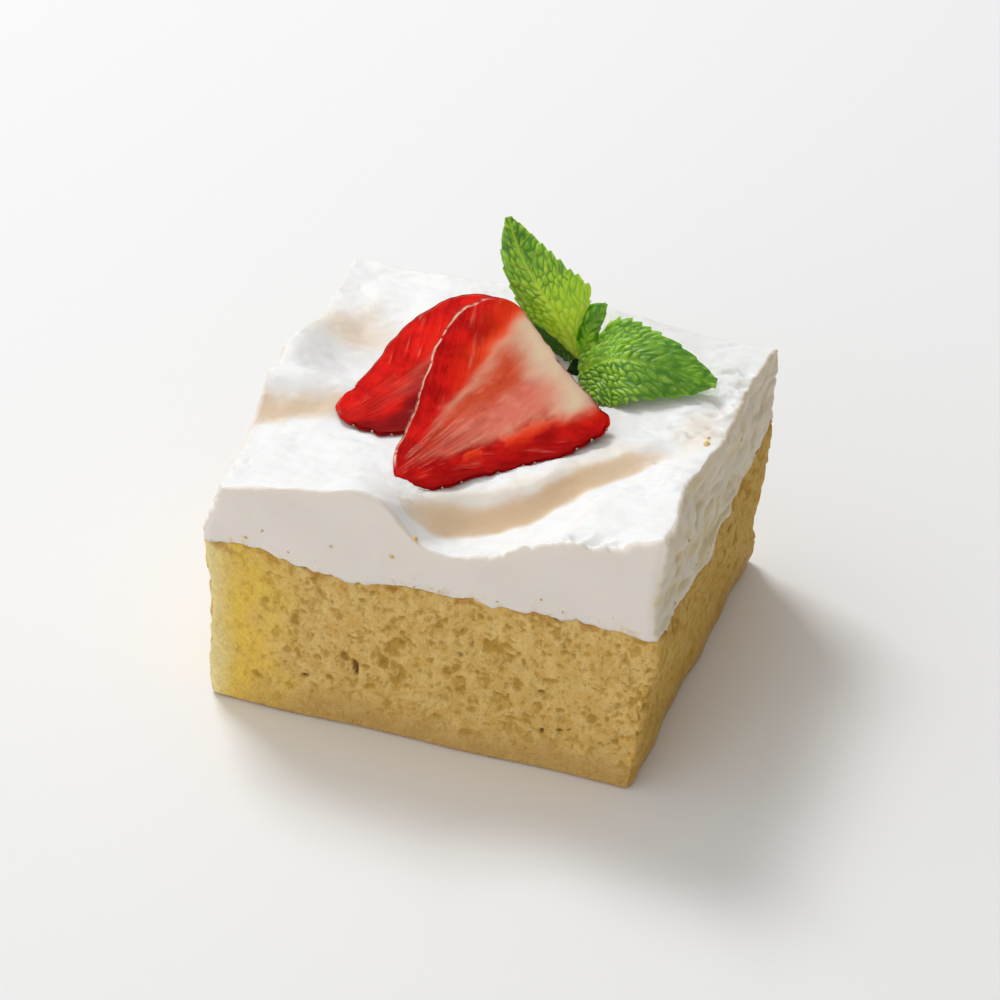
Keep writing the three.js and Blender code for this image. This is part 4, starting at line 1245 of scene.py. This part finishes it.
def make_stem():
    """A tapering tube of rounded square section from the cream up to the leaves' foot."""
    foot, head = np.array(STEM_FOOT), np.array(STEM_HEAD)
    axis = unit(head - foot)
    right = unit(np.cross([1, 0, 0], axis))
    front = np.cross(axis, right)
    share = np.linspace(0, 1, STEM_RINGS)[:, None, None]
    angle = np.linspace(0, 2 * np.pi, STEM_SIDES, endpoint=False)[None, :, None]
    radius = (STEM_RADII[0] + (STEM_RADII[1] - STEM_RADII[0]) * share) * (1 - 0.1 * np.cos(4 * angle))
    radius = radius * np.sqrt(np.clip(1.02 - share**8, 0, 1))
    points = foot + share * (head - foot) + radius * (np.cos(angle) * right + np.sin(angle) * front)
    points = np.concatenate([points.reshape(-1, 3), [foot, head]])
    numbers = np.arange(STEM_RINGS * STEM_SIDES).reshape(STEM_RINGS, STEM_SIDES)
    triangles = np.concatenate([
        fan(numbers[0][::-1], len(points) - 2),
        fan(numbers[-1], len(points) - 1),
    ])
    return make_piece("mint_stem_end", points, quads_between(numbers), triangles)


def stem_finish():
    """Dark green skin with paler lengthwise streaks; so dark as painted shade of the gap among the leaf
    bases.
    """
    finish, tree, shader = new_finish("stem_green")
    streak = stretch(tree, grain(tree, 700, 2), 0.35, 0.7)
    feed(tree, shader.inputs["Base Color"], mixed(tree, streak, light("182C0C"), light("284A14")))
    shader.inputs["Roughness"].default_value = 0.6
    shader.inputs["Specular IOR Level"].default_value = 0.1
    return finish


stem = make_stem()
stem.data.materials.append(stem_finish())
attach(stem, "root")
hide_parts("mint_stem")

# ---------------------------------------------------------------------------------------------
# Floor, light and camera. A pale floor and studio light: a broad lamp high behind on the left,
# a weak one in front, and the camera where the slice is seen from above its front right corner.
# ---------------------------------------------------------------------------------------------

LAMP_TARGET = (0, 0, 0.03)  # metres, as the other places of lamps and camera
CAMERA_TARGET = np.array([0.65, 0.0, 26.6]) * 0.001
CAMERA_TURN, CAMERA_HEIGHT, CAMERA_ROLL = np.radians([18.5, 34.3, 1.2])
CAMERA_DISTANCE = 0.7023
LENS = 151.2  # focal length in mm
FLOOR_HALF = 3000.0
FLOOR_DROP = 0.05  # under the foot, so that the two don't touch
SKY_BRIGHTEST = (-0.72, -0.31, 0.62)
SKY_DIM, SKY_BRIGHT = (0.075, 0.052, 0.008, 1.0), (0.76, 0.765, 0.775, 1.0)


def make_floor():
    """A flat square a little under the slice's foot."""
    corners = np.array([(-1, -1, 0), (1, -1, 0), (1, 1, 0), (-1, 1, 0)]) * FLOOR_HALF
    floor = make_piece("floor", corners - (0, 0, FLOOR_DROP), [[0, 1, 2, 3]])
    finish, _, shader = new_finish("pale_floor")
    shader.inputs["Base Color"].default_value = light("F6F6F6")
    shader.inputs["Roughness"].default_value = 0.6
    floor.data.materials.append(finish)


def hang(name, thing, place, back, roll=0.0):
    """Puts a lamp or camera at a place in metres, level but for its roll, with back the way behind it."""
    back = unit(back)
    right = unit(np.cross([0, 0, 1], back))
    up = np.cross(back, right)
    c, s = np.cos(roll), np.sin(roll)
    turn = np.eye(4)
    turn[:3, :3] = np.stack([c * right + s * up, c * up - s * right, back], 1)
    turn[:3, 3] = place
    holder = bpy.data.objects.new(name, thing)
    holder.matrix_world = Matrix(turn)
    bpy.context.scene.collection.objects.link(holder)
    return holder


def make_lamp(name, place, power, size, colour):
    """A square lamp that looks at the middle of the slice."""
    lamp = bpy.data.lights.new(name, "AREA")
    lamp.energy, lamp.size, lamp.color = power, size, colour
    hang(name, lamp, place, np.array(place) - LAMP_TARGET)


def make_camera():
    """A long lens that looks down at the slice: back is the way from the target to the camera."""
    c, e = CAMERA_TURN, CAMERA_HEIGHT
    back = np.array([np.sin(c) * np.cos(e), -np.cos(c) * np.cos(e), np.sin(e)])
    camera = bpy.data.cameras.new("camera")
    camera.lens = LENS
    camera.clip_start = 0.01
    place = CAMERA_TARGET + back * CAMERA_DISTANCE
    bpy.context.scene.camera = hang("camera", camera, place, back, CAMERA_ROLL)


def make_sky():
    """Soft light from all round that grows from dim and warm on the right to bright on the upper left."""
    sky = bpy.data.worlds.new("studio")
    sky.use_nodes = True
    tree = sky.node_tree
    way = put(tree, "TexCoord", {}).outputs["Generated"]
    towards = put(tree, "VectorMath", {0: way, 1: SKY_BRIGHTEST}, operation="DOT_PRODUCT").outputs["Value"]
    share = put(tree, "MapRange", {"Value": towards, "From Min": -0.7, "From Max": 1.0}).outputs[0]
    feed(tree, tree.nodes["Background"].inputs["Color"], mixed(tree, share, SKY_DIM, SKY_BRIGHT))
    tree.nodes["Background"].inputs["Strength"].default_value = 1.0
    bpy.context.scene.world = sky


make_floor()
make_lamp("key", (-0.5, 0.45, 0.95), 6.35, 0.35, (0.96, 0.98, 1.0))
make_lamp("fill", (-0.3, -1.2, 0.5), 1.45, 0.8, (1.0, 0.94, 0.87))
make_sky()
make_camera()
bpy.context.scene.view_settings.view_transform = "Standard"
